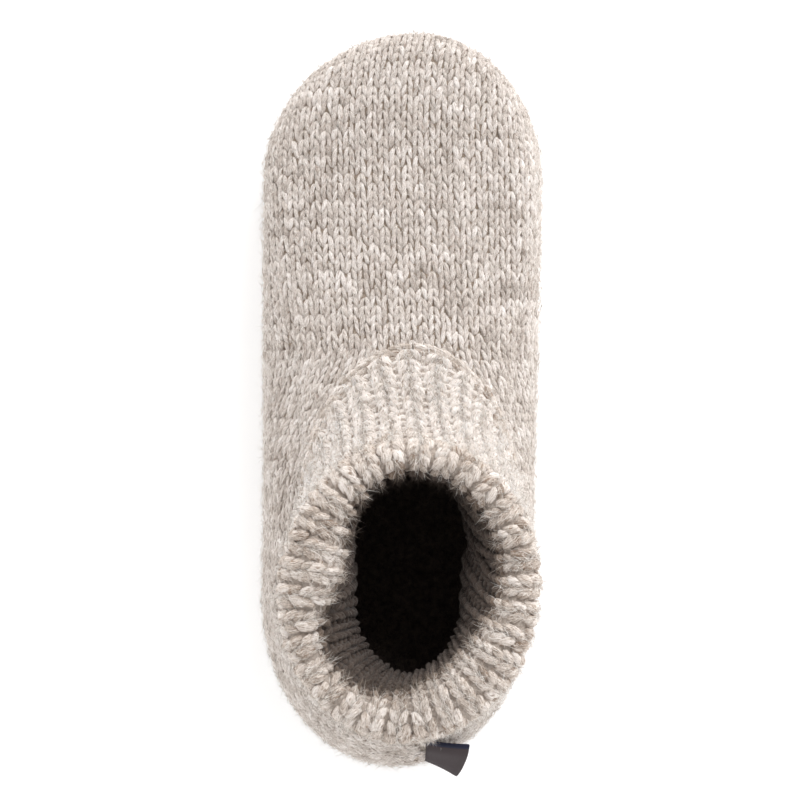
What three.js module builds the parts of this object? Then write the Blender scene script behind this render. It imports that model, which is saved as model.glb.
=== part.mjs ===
// Knitted slipper sock that fits either foot, standing empty on its soft sole.
// Millimetres. The toe points along +Y, +X is the right-hand side seen from above, +Z is up.
// The form is worked out about the middle of the foot's length, with the floor at z = 0.
import * as THREE from 'three';

// Driving sizes of the foot
const FOOT_LENGTH = 268.5;
const FOOT_WIDTH = 102;
const INSTEP_HEIGHT = 66.5;
const HEEL_HEIGHT = 76;
const FOOT_TURN_DEG = 0.75;
const TOE_SKEW = 3.4;
const TOE_SPRING = 4;
const UPPER_WALL = 4;

// Driving sizes of the ribbed collar, which is folded over into a fat round rim
const COLLAR_LENGTH = 105.2;
const COLLAR_WIDTH = 91;
const COLLAR_RISE_FRONT = 51.5;
const COLLAR_RISE_BACK = 48;
const COLLAR_SET_IN = 14.9;
const COLLAR_LEAN = 4.2;
const RIM_LEAN = 3.1;
const RIM_TURN_DEG = -6;
const RIM_FLARE = 0.15;
const RIM_THICKNESS = 15.6;
const COLLAR_WALL = 8;
const RIB_COUNT = 30;
const RIB_DEPTH = 1.8;

// Driving sizes of the sole, the insole and the folded label
const SOLE_THICKNESS = 6;
const SOLE_EDGE_BOTTOM = 2.6;
const SOLE_EDGE_TOP = 1.2;
const ARCH_RISE = 1.5;
const INSOLE_THICKNESS = 4;
const INSOLE_EDGE = 1.2;
const LABEL_WIDTH = 16;
const LABEL_HEIGHT = 20;
const LABEL_THICKNESS = 1.2;
const LABEL_OFFSET = 9.3;

// Clearance between pieces that meet along a curve
const SEAM_GAP = 0.3;

const HALF_LENGTH = FOOT_LENGTH / 2;
const HALF_WIDTH = FOOT_WIDTH / 2;
const FOOT_BASE = SOLE_THICKNESS + SEAM_GAP;
const RIM_RADIUS = RIM_THICKNESS / 2;

// Rings of the knit foot, from the sole's edge up to the collar seam.
// front, rear: reach ahead of and behind the middle, in half lengths.
// toeCap, heelCap: length of the rounded ends, in half lengths.
// ball, ankle: half widths at the ball and at the ankle, in half foot widths.
// waist: how far the sides draw in between the two, in half foot widths.
// riseFront, riseRear: height above the sole, in instep heights and in heel heights.
// lean: share of the collar's sideways lean.
const FOOT_RINGS = [
  { front: 0.941, rear: 0.926, toeCap: 0.407, heelCap: 0.46, ball: 0.873, ankle: 0.804,
    waist: 0.05, riseFront: 0, riseRear: 0, lean: 0 },
  { front: 0.978, rear: 0.970, toeCap: 0.407, heelCap: 0.46, ball: 0.957, ankle: 0.912,
    waist: 0.03, riseFront: 0.111, riseRear: 0.096, lean: 0 },
  { front: 1.000, rear: 0.996, toeCap: 0.407, heelCap: 0.46, ball: 1.000, ankle: 0.960,
    waist: 0.01, riseFront: 0.294, riseRear: 0.283, lean: 0 },
  { front: 0.989, rear: 1.000, toeCap: 0.407, heelCap: 0.46, ball: 0.994, ankle: 0.965,
    waist: 0, riseFront: 0.427, riseRear: 0.455, lean: 0 },
  { front: 0.941, rear: 0.993, toeCap: 0.407, heelCap: 0.46, ball: 0.961, ankle: 0.950,
    waist: 0, riseFront: 0.543, riseRear: 0.584, lean: 0 },
  { front: 0.830, rear: 0.981, toeCap: 0.407, heelCap: 0.45, ball: 0.892, ankle: 0.925,
    waist: 0, riseFront: 0.635, riseRear: 0.684, lean: 0.12 },
  { front: 0.652, rear: 0.967, toeCap: 0.410, heelCap: 0.43, ball: 0.804, ankle: 0.900,
    waist: 0, riseFront: 0.701, riseRear: 0.778, lean: 0.29 },
  { front: 0.444, rear: 0.948, toeCap: 0.430, heelCap: 0.40, ball: 0.755, ankle: 0.865,
    waist: 0, riseFront: 0.792, riseRear: 0.864, lean: 0.52 },
  { front: 0.267, rear: 0.930, toeCap: 0.450, heelCap: 0.37, ball: 0.745, ankle: 0.825,
    waist: 0, riseFront: 0.900, riseRear: 0.943, lean: 0.76 },
  { front: 0.130, rear: 0.907, toeCap: 0.460, heelCap: 0.34, ball: 0.765, ankle: 0.794,
    waist: 0, riseFront: 1, riseRear: 1, lean: 1 },
];
const LAST_RING = FOOT_RINGS.length - 1;

// Where along the foot the forms change, in half lengths ahead of the middle
const SPRING_START = 0.54;
const SKEW_START = 0.6;
const ARCH_FRONT = 0.25;
const ARCH_REAR = -0.4;

// Steps of the facets
const TOE_STEPS = 13;
const SIDE_STEPS = 8;
const HEEL_STEPS = 9;
const RINGS_PER_ROW = 2;
const RIB_STEPS = 5;
const COLLAR_WALL_STEPS = 5;
const ROLL_STEPS = 6;
const LABEL_STEPS = 4;
const SEAM_FACE_STEPS = 3;

const { lerp, smoothstep, degToRad } = THREE.MathUtils;

// A smooth curve through one column of the ring table
function columnCurve(name) {
  return new THREE.SplineCurve(FOOT_RINGS.map((row, index) => new THREE.Vector2(index, row[name])));
}

const COLUMNS = Object.fromEntries(
  Object.keys(FOOT_RINGS[0]).map((name) => [name, columnCurve(name)]),
);

// The table's values at any height between its rows, from 0 at the sole to LAST_RING at the collar
function ringAt(row) {
  const share = row / LAST_RING;
  return Object.fromEntries(
    Object.entries(COLUMNS).map(([name, curve]) => [name, curve.getPoint(share).y]),
  );
}

// The sole and the knit both curl up at the toe
function toeSpring(y) {
  const start = SPRING_START * HALF_LENGTH;
  const share = Math.max(0, (y - start) / (HALF_LENGTH - start));
  return TOE_SPRING * share ** 2;
}

// The underside lifts a little off the floor between heel and forefoot
function archRise(y) {
  const share = (y / HALF_LENGTH - ARCH_REAR) / (ARCH_FRONT - ARCH_REAR);
  if (share <= 0 || share >= 1) return 0;
  return ARCH_RISE * Math.sin(Math.PI * share) ** 2;
}

// The foot's middle line, turned a little and bent to one side at the toe tip
function middleLine(y) {
  const share = Math.max(0, (y / HALF_LENGTH - SKEW_START) / (1 - SKEW_START));
  return y * Math.tan(degToRad(FOOT_TURN_DEG)) + TOE_SKEW * share ** 3;
}

// Stations around a ring, counter-clockwise from the toe tip, seen from above
function ringStations() {
  const half = [];
  for (let i = 0; i < TOE_STEPS; i += 1) half.push({ zone: 'toe', share: i / TOE_STEPS });
  for (let i = 0; i < SIDE_STEPS; i += 1) half.push({ zone: 'side', share: i / SIDE_STEPS });
  for (let i = 0; i <= HEEL_STEPS; i += 1) half.push({ zone: 'heel', share: i / HEEL_STEPS });
  const left = half.map((station) => ({ ...station, side: -1 }));
  const right = half.slice(1, -1).reverse().map((station) => ({ ...station, side: 1 }));
  return [...left, ...right];
}

const STATIONS = ringStations();

// A point on the outside of the knit foot
function footPoint(row, station) {
  const ring = ringAt(row);
  const frontY = ring.front * HALF_LENGTH;
  const rearY = -ring.rear * HALF_LENGTH;
  const ballY = frontY - ring.toeCap * HALF_LENGTH;
  const ankleY = rearY + ring.heelCap * HALF_LENGTH;
  const ballHalf = ring.ball * HALF_WIDTH;
  const ankleHalf = ring.ankle * HALF_WIDTH;
  const angle = station.share * Math.PI / 2;
  let y;
  let half;
  if (station.zone === 'toe') {
    y = lerp(ballY, frontY, Math.cos(angle));
    half = ballHalf * Math.sin(angle);
  } else if (station.zone === 'side') {
    y = lerp(ballY, ankleY, station.share);
    half = lerp(ballHalf, ankleHalf, smoothstep(station.share, 0, 1));
    half -= ring.waist * HALF_WIDTH * Math.sin(2 * angle) ** 2;
  } else {
    y = lerp(ankleY, rearY, Math.sin(angle));
    half = ankleHalf * Math.cos(angle);
  }
  const along = (y - rearY) / (frontY - rearY);
  const rise = lerp(
    ring.riseRear * (HEEL_HEIGHT - FOOT_BASE),
    ring.riseFront * (INSTEP_HEIGHT - FOOT_BASE),
    along,
  );
  const x = station.side * half + middleLine(y) + ring.lean * COLLAR_LEAN;
  return new THREE.Vector3(x, y, FOOT_BASE + rise + toeSpring(y));
}

// All points of one ring
function footRing(row) {
  return STATIONS.map((station) => footPoint(row, station));
}

// Points of one ring with the directions out of the knit and up it, square to the ring.
// Where the knit stands on the sole, outward is level.
function footFrames(row) {
  const step = 0.05;
  const above = footRing(Math.min(row + step, LAST_RING));
  const below = footRing(Math.max(row - step, 0));
  const ring = footRing(row);
  return ring.map((point, index) => {
    const next = ring[(index + 1) % ring.length];
    const previous = ring[(index + ring.length - 1) % ring.length];
    const around = next.clone().sub(previous);
    const climb = above[index].clone().sub(below[index]);
    const outward = around.clone().cross(climb);
    outward.z *= Math.min(1, row);
    outward.normalize();
    return { point, outward, up: outward.clone().cross(around).normalize() };
  });
}

// A ring of the knit's inside, one wall in from its outside
function innerRing(row) {
  return footFrames(row).map(({ point, outward }) => {
    const inner = point.clone().addScaledVector(outward, -UPPER_WALL);
    if (row === 0) inner.z = FOOT_BASE + toeSpring(inner.y);
    return inner;
  });
}

// A skin over rings of equal length that climb and run counter-clockwise, so that its faces point out.
// Either the last ring joins the first, as on a wall, or flat caps close both ends.
function skin(rings, isWall) {
  const count = rings[0].length;
  const positions = rings.flat().flatMap((point) => point.toArray());
  const faces = [];
  const bands = isWall ? rings.length : rings.length - 1;
  for (let band = 0; band < bands; band += 1) {
    const low = band * count;
    const high = ((band + 1) % rings.length) * count;
    for (let i = 0; i < count; i += 1) {
      const j = (i + 1) % count;
      faces.push(low + i, low + j, high + j);
      faces.push(low + i, high + j, high + i);
    }
  }
  if (!isWall) {
    faces.push(...ladder(count, 0, false));
    faces.push(...ladder(count, (rings.length - 1) * count, true));
  }
  const geometry = new THREE.BufferGeometry();
  geometry.setAttribute('position', new THREE.Float32BufferAttribute(positions, 3));
  geometry.setIndex(faces);
  geometry.computeVertexNormals();
  return geometry;
}

// Flat rungs across a ring that is the same on both sides, from its toe to its heel
function ladder(count, first, facesUp) {
  const faces = [];
  const add = (a, b, c) => faces.push(first + a, first + (facesUp ? b : c), first + (facesUp ? c : b));
  for (let i = 0; i < count / 2; i += 1) {
    const right = (count - i) % count;
    const nextRight = count - i - 1;
    if (i > 0) add(i, i + 1, right);
    if (i + 1 < count / 2) add(i + 1, nextRight, right);
  }
  return faces;
}

// A ring drawn in towards its middle line by a margin, at the height that the caller gives
function insetRing(ring, margin, heightAt) {
  return ring.map((point, index) => {
    const next = ring[(index + 1) % ring.length];
    const previous = ring[(index + ring.length - 1) % ring.length];
    const outward = new THREE.Vector3(next.y - previous.y, previous.x - next.x, 0).normalize();
    const inset = point.clone().addScaledVector(outward, -margin);
    inset.z = heightAt(inset.y);
    return inset;
  });
}

// A pad with the outline of a ring, rounded at its lower and upper edge
function padGeometry(ring, floorAt, ceilingAt, lowerEdge, upperEdge) {
  const cornerShare = 1 - Math.SQRT1_2;
  const rings = [
    insetRing(ring, lowerEdge, floorAt),
    insetRing(ring, lowerEdge * cornerShare, (y) => floorAt(y) + lowerEdge * cornerShare),
    insetRing(ring, 0, (y) => floorAt(y) + lowerEdge),
    insetRing(ring, 0, (y) => ceilingAt(y) - upperEdge),
    insetRing(ring, upperEdge * cornerShare, (y) => ceilingAt(y) - upperEdge * cornerShare),
    insetRing(ring, upperEdge, ceilingAt),
  ];
  return skin(rings, false);
}

// Rings between two edges of a face that twists around the foot, which keep the face even
function ringsBetween(outer, inner, steps) {
  const rings = [];
  for (let i = 1; i < steps; i += 1) {
    rings.push(outer.map((point, index) => point.clone().lerp(inner[index], i / steps)));
  }
  return rings;
}

// The knit foot: one wall with an open collar and an open underside
function upperGeometry() {
  const rings = [];
  for (let i = 0; i <= LAST_RING * RINGS_PER_ROW; i += 1) rings.push(footRing(i / RINGS_PER_ROW));
  rings.push(...ringsBetween(footRing(LAST_RING), innerRing(LAST_RING), SEAM_FACE_STEPS));
  for (let row = LAST_RING; row >= 0; row -= 1) rings.push(innerRing(row));
  return skin(rings, true);
}

// The sole: the outline on which the knit stands, with toe spring and a low arch
function soleGeometry() {
  const underside = (y) => toeSpring(y) + archRise(y);
  const top = (y) => SOLE_THICKNESS + toeSpring(y);
  return padGeometry(footRing(0), underside, top, SOLE_EDGE_BOTTOM, SOLE_EDGE_TOP);
}

// The insole lies on the sole, inside the knit
function insoleGeometry() {
  const bottom = (y) => FOOT_BASE + toeSpring(y);
  const outline = insetRing(innerRing(0), SEAM_GAP, bottom);
  const top = (y) => bottom(y) + INSOLE_THICKNESS;
  return padGeometry(outline, bottom, top, INSOLE_EDGE, INSOLE_EDGE);
}

// Height of one rib over its groove: round on top, narrow in the groove, and shallow at the seam
function ribHeight(index, wallShare) {
  const share = (index % RIB_STEPS) / RIB_STEPS;
  const grooveSharpness = 3.2;
  const seamShare = 0.4;
  const swell = lerp(seamShare, 1, smoothstep(wallShare, 0, seamShare));
  return RIB_DEPTH * swell * (1 - Math.abs(2 * share - 1) ** grooveSharpness);
}

// The line of the rim's middle, an ellipse that leans and turns with the ankle
function rimCurve() {
  const middleY = -HALF_LENGTH + COLLAR_SET_IN + COLLAR_LENGTH / 2;
  return new THREE.EllipseCurve(
    RIM_LEAN, middleY,
    COLLAR_WIDTH / 2 - RIM_RADIUS, COLLAR_LENGTH / 2 - RIM_RADIUS,
    Math.PI / 2, Math.PI * 5 / 2, false, degToRad(RIM_TURN_DEG),
  );
}

// Height of the rim's middle line, which climbs towards the heel
function rimHeight(y) {
  const rearY = -HALF_LENGTH + COLLAR_SET_IN;
  const along = (y - rearY) / COLLAR_LENGTH;
  const front = INSTEP_HEIGHT + COLLAR_RISE_FRONT;
  const back = HEEL_HEIGHT + COLLAR_RISE_BACK;
  return lerp(back, front, along) - RIM_RADIUS;
}

// Equal steps along a closed ring, each as two neighbouring points and the share from one to the next
function equalSteps(ring, count) {
  const lengths = ring.map((point, index) => point.distanceTo(ring[(index + 1) % ring.length]));
  const total = lengths.reduce((sum, length) => sum + length, 0);
  const steps = [];
  let from = 0;
  let passed = 0;
  for (let i = 0; i < count; i += 1) {
    const distance = total * i / count;
    while (passed + lengths[from] < distance) {
      passed += lengths[from];
      from += 1;
    }
    steps.push({ from, to: (from + 1) % ring.length, share: (distance - passed) / lengths[from] });
  }
  return steps;
}

// For each rib step around the collar: where its wall leaves the knit and where the rim is
function collarLines() {
  const edge = footFrames(LAST_RING);
  const rim = rimCurve();
  const count = RIB_COUNT * RIB_STEPS;
  return equalSteps(edge.map(({ point }) => point), count).map(({ from, to, share }, index) => {
    const between = (name) => edge[from][name].clone().lerp(edge[to][name], share);
    const start = between('point');
    const outward = between('outward').normalize();
    const leave = between('up').projectOnPlane(outward).normalize();
    start.addScaledVector(leave, SEAM_GAP).addScaledVector(outward, -COLLAR_WALL / 2);
    const rimPoint = rim.getPointAt(index / count);
    const end = new THREE.Vector3(rimPoint.x, rimPoint.y, rimHeight(rimPoint.y));
    const flare = new THREE.Vector3(rimPoint.x - rim.aX, rimPoint.y - rim.aY, 0).normalize();
    const arrive = new THREE.Vector3(0, 0, 1).addScaledVector(flare, RIM_FLARE).normalize();
    return { start, outward, leave, end, arrive };
  });
}

// The middle of the collar's wall from the seam (0) to the rim (1), with its direction
function wallMiddle(line, share) {
  const span = line.start.distanceTo(line.end);
  const leavePull = 0.6 * span;
  const arrivePull = 0.85 * span;
  const s2 = share ** 2;
  const s3 = share ** 3;
  const point = new THREE.Vector3()
    .addScaledVector(line.start, 2 * s3 - 3 * s2 + 1)
    .addScaledVector(line.leave, (s3 - 2 * s2 + share) * leavePull)
    .addScaledVector(line.end, 3 * s2 - 2 * s3)
    .addScaledVector(line.arrive, (s3 - s2) * arrivePull);
  const direction = new THREE.Vector3()
    .addScaledVector(line.start, 6 * s2 - 6 * share)
    .addScaledVector(line.leave, (3 * s2 - 4 * share + 1) * leavePull)
    .addScaledVector(line.end, 6 * share - 6 * s2)
    .addScaledVector(line.arrive, (3 * s2 - 2 * share) * arrivePull)
    .normalize();
  return { point, direction };
}

// Middle points, directions and outward directions of the wall at one share of its height
function collarFrame(lines, share) {
  const middles = lines.map((line) => wallMiddle(line, share));
  return middles.map(({ point, direction }, index) => {
    const next = middles[(index + 1) % middles.length].point;
    const previous = middles[(index + middles.length - 1) % middles.length].point;
    const across = next.clone().sub(previous).cross(direction).normalize();
    const outward = share === 0 ? lines[index].outward : across;
    return { point, direction, outward };
  });
}

// The ribbed collar: up its outside, over the round rim and down its inside
function collarGeometry() {
  const lines = collarLines();
  const rimCore = RIM_RADIUS - RIB_DEPTH;
  const halfWall = (share) => lerp(COLLAR_WALL / 2, rimCore, smoothstep(share, 0, 1));
  const wallRing = (share, face) => collarFrame(lines, share).map(({ point, outward }, index) => (
    point.clone().addScaledVector(outward, face * (halfWall(share) + ribHeight(index, share)))
  ));
  const rings = [];
  for (let i = 0; i <= COLLAR_WALL_STEPS; i += 1) rings.push(wallRing(i / COLLAR_WALL_STEPS, 1));
  const rimFrame = collarFrame(lines, 1);
  for (let i = 1; i < ROLL_STEPS; i += 1) {
    const angle = Math.PI * i / ROLL_STEPS;
    rings.push(rimFrame.map(({ point, direction, outward }, index) => {
      const reach = rimCore + ribHeight(index, 1);
      return point.clone()
        .addScaledVector(outward, Math.cos(angle) * reach)
        .addScaledVector(direction, Math.sin(angle) * reach);
    }));
  }
  for (let i = COLLAR_WALL_STEPS; i >= 0; i -= 1) rings.push(wallRing(i / COLLAR_WALL_STEPS, -1));
  rings.push(...ringsBetween(wallRing(0, -1), wallRing(0, 1), SEAM_FACE_STEPS));
  return skin(rings, true);
}

// Points down the back seam, at equal steps of the label's height from just under the collar
function labelSeam() {
  const topRow = LAST_RING - 0.15;
  const rowStep = 0.02;
  const stationAt = (row) => {
    const across = LABEL_OFFSET - COLLAR_LEAN * ringAt(row).lean;
    const half = ringAt(row).ankle * HALF_WIDTH;
    return { zone: 'heel', share: Math.acos(across / half) / (Math.PI / 2), side: 1 };
  };
  const points = [footPoint(topRow, stationAt(topRow))];
  let row = topRow;
  while (points.length <= LABEL_STEPS) {
    row -= rowStep;
    const point = footPoint(row, stationAt(row));
    if (point.distanceTo(points.at(-1)) >= LABEL_HEIGHT / LABEL_STEPS) points.push(point);
  }
  return points;
}

// The folded label: sewn in at the back seam, standing off the heel towards its free side
function labelGeometry() {
  const seam = labelSeam();
  const freeTop = new THREE.Vector3(0.975, -0.11, -0.19);
  const freeBottom = new THREE.Vector3(0.78, -0.33, -0.53);
  const geometry = new THREE.BoxGeometry(1, 1, 1, LABEL_STEPS, 1, LABEL_STEPS);
  const position = geometry.attributes.position;
  const down = seam.at(-1).clone().sub(seam[0]).normalize();
  for (let i = 0; i < position.count; i += 1) {
    const across = position.getX(i) + 0.5;
    const drop = 0.5 - position.getZ(i);
    const free = freeTop.clone().lerp(freeBottom, drop).normalize();
    const proud = free.clone().cross(down).normalize();
    const lift = SEAM_GAP + LABEL_THICKNESS * (0.5 - position.getY(i));
    const point = seam[Math.round(drop * LABEL_STEPS)].clone()
      .addScaledVector(free, across * LABEL_WIDTH)
      .addScaledVector(proud, -lift);
    position.setXYZ(i, ...point.toArray());
  }
  geometry.computeVertexNormals();
  return geometry;
}

const oatmealKnit = new THREE.MeshStandardMaterial({ color: '#c8beb6', roughness: 0.95 });
const oatmealRib = new THREE.MeshStandardMaterial({ color: '#cdc4bd', roughness: 0.95 });
const charcoalSole = new THREE.MeshStandardMaterial({ color: '#3b3736', roughness: 0.9 });
const darkPlush = new THREE.MeshStandardMaterial({ color: '#2a2625', roughness: 1 });
const charcoalTape = new THREE.MeshStandardMaterial({ color: '#4e4447', roughness: 0.8 });

function piece(name, geometry, material) {
  const mesh = new THREE.Mesh(geometry, material);
  mesh.name = name;
  return mesh;
}

const slipperSock = new THREE.Group();
slipperSock.add(
  piece('knit_upper', upperGeometry(), oatmealKnit),
  piece('rib_collar', collarGeometry(), oatmealRib),
  piece('sole', soleGeometry(), charcoalSole),
  piece('insole', insoleGeometry(), darkPlush),
  piece('label', labelGeometry(), charcoalTape),
);

// The origin is under the middle of the whole slipper sock, on the floor
const extent = new THREE.Box3().setFromObject(slipperSock);
const middle = extent.getCenter(new THREE.Vector3());
slipperSock.position.set(-middle.x, -middle.y, -extent.min.z);

export default slipperSock;
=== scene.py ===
"""Knitted slipper sock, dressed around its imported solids.

The foot is stockinette in brushed marl wool, the collar is 1x1 rib folded over into a fat
rim, and the sole, insole and lining are soft pile fabrics. All sizes are in metres.
"""

from __future__ import annotations

import logging
import math
from dataclasses import dataclass, field
from enum import Enum

import bmesh
import bpy
import numpy as np
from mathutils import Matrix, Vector

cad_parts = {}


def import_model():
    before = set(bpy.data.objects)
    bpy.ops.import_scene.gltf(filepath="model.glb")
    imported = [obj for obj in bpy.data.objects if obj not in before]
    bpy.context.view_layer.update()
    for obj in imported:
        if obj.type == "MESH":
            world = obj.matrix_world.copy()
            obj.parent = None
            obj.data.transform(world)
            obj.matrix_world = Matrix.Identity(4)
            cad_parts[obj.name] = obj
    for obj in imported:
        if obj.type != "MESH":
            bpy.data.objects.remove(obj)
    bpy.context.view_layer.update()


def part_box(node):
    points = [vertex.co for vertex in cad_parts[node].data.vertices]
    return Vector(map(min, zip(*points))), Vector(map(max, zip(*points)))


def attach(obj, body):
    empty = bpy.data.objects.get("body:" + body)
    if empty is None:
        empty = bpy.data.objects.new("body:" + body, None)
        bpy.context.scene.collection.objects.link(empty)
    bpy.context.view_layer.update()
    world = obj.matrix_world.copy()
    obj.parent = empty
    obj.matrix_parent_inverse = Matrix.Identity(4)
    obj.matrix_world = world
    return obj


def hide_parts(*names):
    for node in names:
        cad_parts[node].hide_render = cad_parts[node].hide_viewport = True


Array = np.ndarray
Random = np.random.Generator
Socket = bpy.types.NodeSocket
LOG = logging.getLogger("slipper_sock")
MM = 0.001
BODY = "root"

# Painted shade: how much of a colour is left from the rim into the throat, to stand for the
# shadow down there.
THROAT_SHADE_STOPS = ((0.0, "#ffffff"), (1.0, "#4e4541"), (0.5, "#b3a79c"))

# Rings of the knit foot, from the sole's edge up to the collar seam, as shares of its sizes.
# Columns: front, rear, toe cap, heel cap, ball, ankle, waist, rise in front, rise behind, lean.
FOOT_RINGS = np.array(
    [
        (0.941, 0.926, 0.407, 0.46, 0.873, 0.804, 0.05, 0.000, 0.000, 0.00),
        (0.978, 0.970, 0.407, 0.46, 0.957, 0.912, 0.03, 0.111, 0.096, 0.00),
        (1.000, 0.996, 0.407, 0.46, 1.000, 0.960, 0.01, 0.294, 0.283, 0.00),
        (0.989, 1.000, 0.407, 0.46, 0.994, 0.965, 0.00, 0.427, 0.455, 0.00),
        (0.941, 0.993, 0.407, 0.46, 0.961, 0.950, 0.00, 0.543, 0.584, 0.00),
        (0.830, 0.981, 0.407, 0.45, 0.892, 0.925, 0.00, 0.635, 0.684, 0.12),
        (0.652, 0.967, 0.410, 0.43, 0.804, 0.900, 0.00, 0.701, 0.778, 0.29),
        (0.444, 0.948, 0.430, 0.40, 0.755, 0.865, 0.00, 0.792, 0.864, 0.52),
        (0.267, 0.930, 0.450, 0.37, 0.745, 0.825, 0.00, 0.900, 0.943, 0.76),
        (0.130, 0.907, 0.460, 0.34, 0.765, 0.794, 0.00, 1.000, 1.000, 1.00),
    ]
)
LAST_RING = len(FOOT_RINGS) - 1
FULL_TURN = 6.0  # a ring's places: toe tip 0, ball 1, ankle 2, heel 3, and back at 6
FINE_STEPS = 1201  # points on a ring along which distances are measured
RIM_TOP = 1.5  # the station on top of the collar's rim, halfway from 0 to 3
YARN_NUMBERS = 40.0  # each length of yarn has a number up to this
FRONT_RIBS = 5  # to each side of the front rib, where the nap is brushed up most

# How far the folded rib stands into the throat, in millimetres.
# Columns: share around the collar from its front, at the rim's inner edge, deep inside.
THROAT_BULGES = np.array(
    [
        (0.0000, -3.0, 1.0),
        (0.0625, -2.0, 1.0),
        (0.1250, 0.0, 4.5),
        (0.1875, 4.8, 7.2),
        (0.2250, 7.6, 8.8),
        (0.2500, 6.4, 9.6),
        (0.2750, 3.8, 10.0),
        (0.3125, -1.6, 10.5),
        (0.3750, -4.2, 11.6),
        (0.4375, -2.0, 12.0),
        (0.5000, 1.5, 10.5),
        (0.5625, 4.8, 11.0),
        (0.6250, 5.2, 11.5),
        (0.6875, 4.0, 11.5),
        (0.7500, 0.0, 11.4),
        (0.8125, -2.5, 10.6),
        (0.8750, -2.5, 8.3),
        (0.9375, -2.8, 3.6),
        (1.0000, -3.0, 1.0),
    ]
)


class Side(Enum):
    """The sides of the foot seen from above, with the sense in which a ring runs along them."""

    LEFT = 1.0
    RIGHT = -1.0


def mix(low: Array, high: Array, share: Array) -> Array:
    """Returns what lies at a share of the way from low to high."""
    return low + (high - low) * share


def smooth(share: Array) -> Array:
    """Returns a share eased in and out, held between 0 and 1."""
    held = np.clip(share, 0.0, 1.0)
    return held * held * (3.0 - 2.0 * held)


def unit(vectors: Array) -> Array:
    """Returns vectors scaled to a length of one."""
    return vectors / np.maximum(np.linalg.norm(vectors, axis=-1, keepdims=True), 1e-12)


def arc_lengths(points: Array) -> Array:
    """Returns the distance along a line of points, from 0 at its start."""
    steps = np.linalg.norm(np.diff(points, axis=0), axis=1)
    return np.concatenate(([0.0], np.cumsum(steps)))


def read_along(wanted: Array, passed: Array, values: Array) -> Array:
    """Reads rows of values between their places along a line.

    Args:
        wanted: Distances along the line, of any shape.
        passed: The rows' own distances.
        values: The rows.

    Returns:
        The values there, with their columns last.
    """
    return np.stack([np.interp(wanted, passed, column) for column in values.T], axis=-1)


def climb_at(station: Array) -> Array:
    """Returns how far up the collar's wall stations are, on its outside or its inside."""
    return np.clip(np.where(station < RIM_TOP, station, 2 * RIM_TOP - station), 0.0, 1.0)


def is_inside(place: Array, outline: Array) -> bool:
    """Says whether a flat point lies inside a closed outline."""
    level = 1e-12
    after = np.roll(outline, -1, axis=0)
    crosses = (outline[:, 1] > place[1]) != (after[:, 1] > place[1])
    rise = after[:, 1] - outline[:, 1]
    rise = np.where(np.abs(rise) < level, level, rise)
    at = outline[:, 0] + (place[1] - outline[:, 1]) * (after[:, 0] - outline[:, 0]) / rise
    return bool(np.count_nonzero(crosses & (place[0] < at)) % 2)


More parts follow.
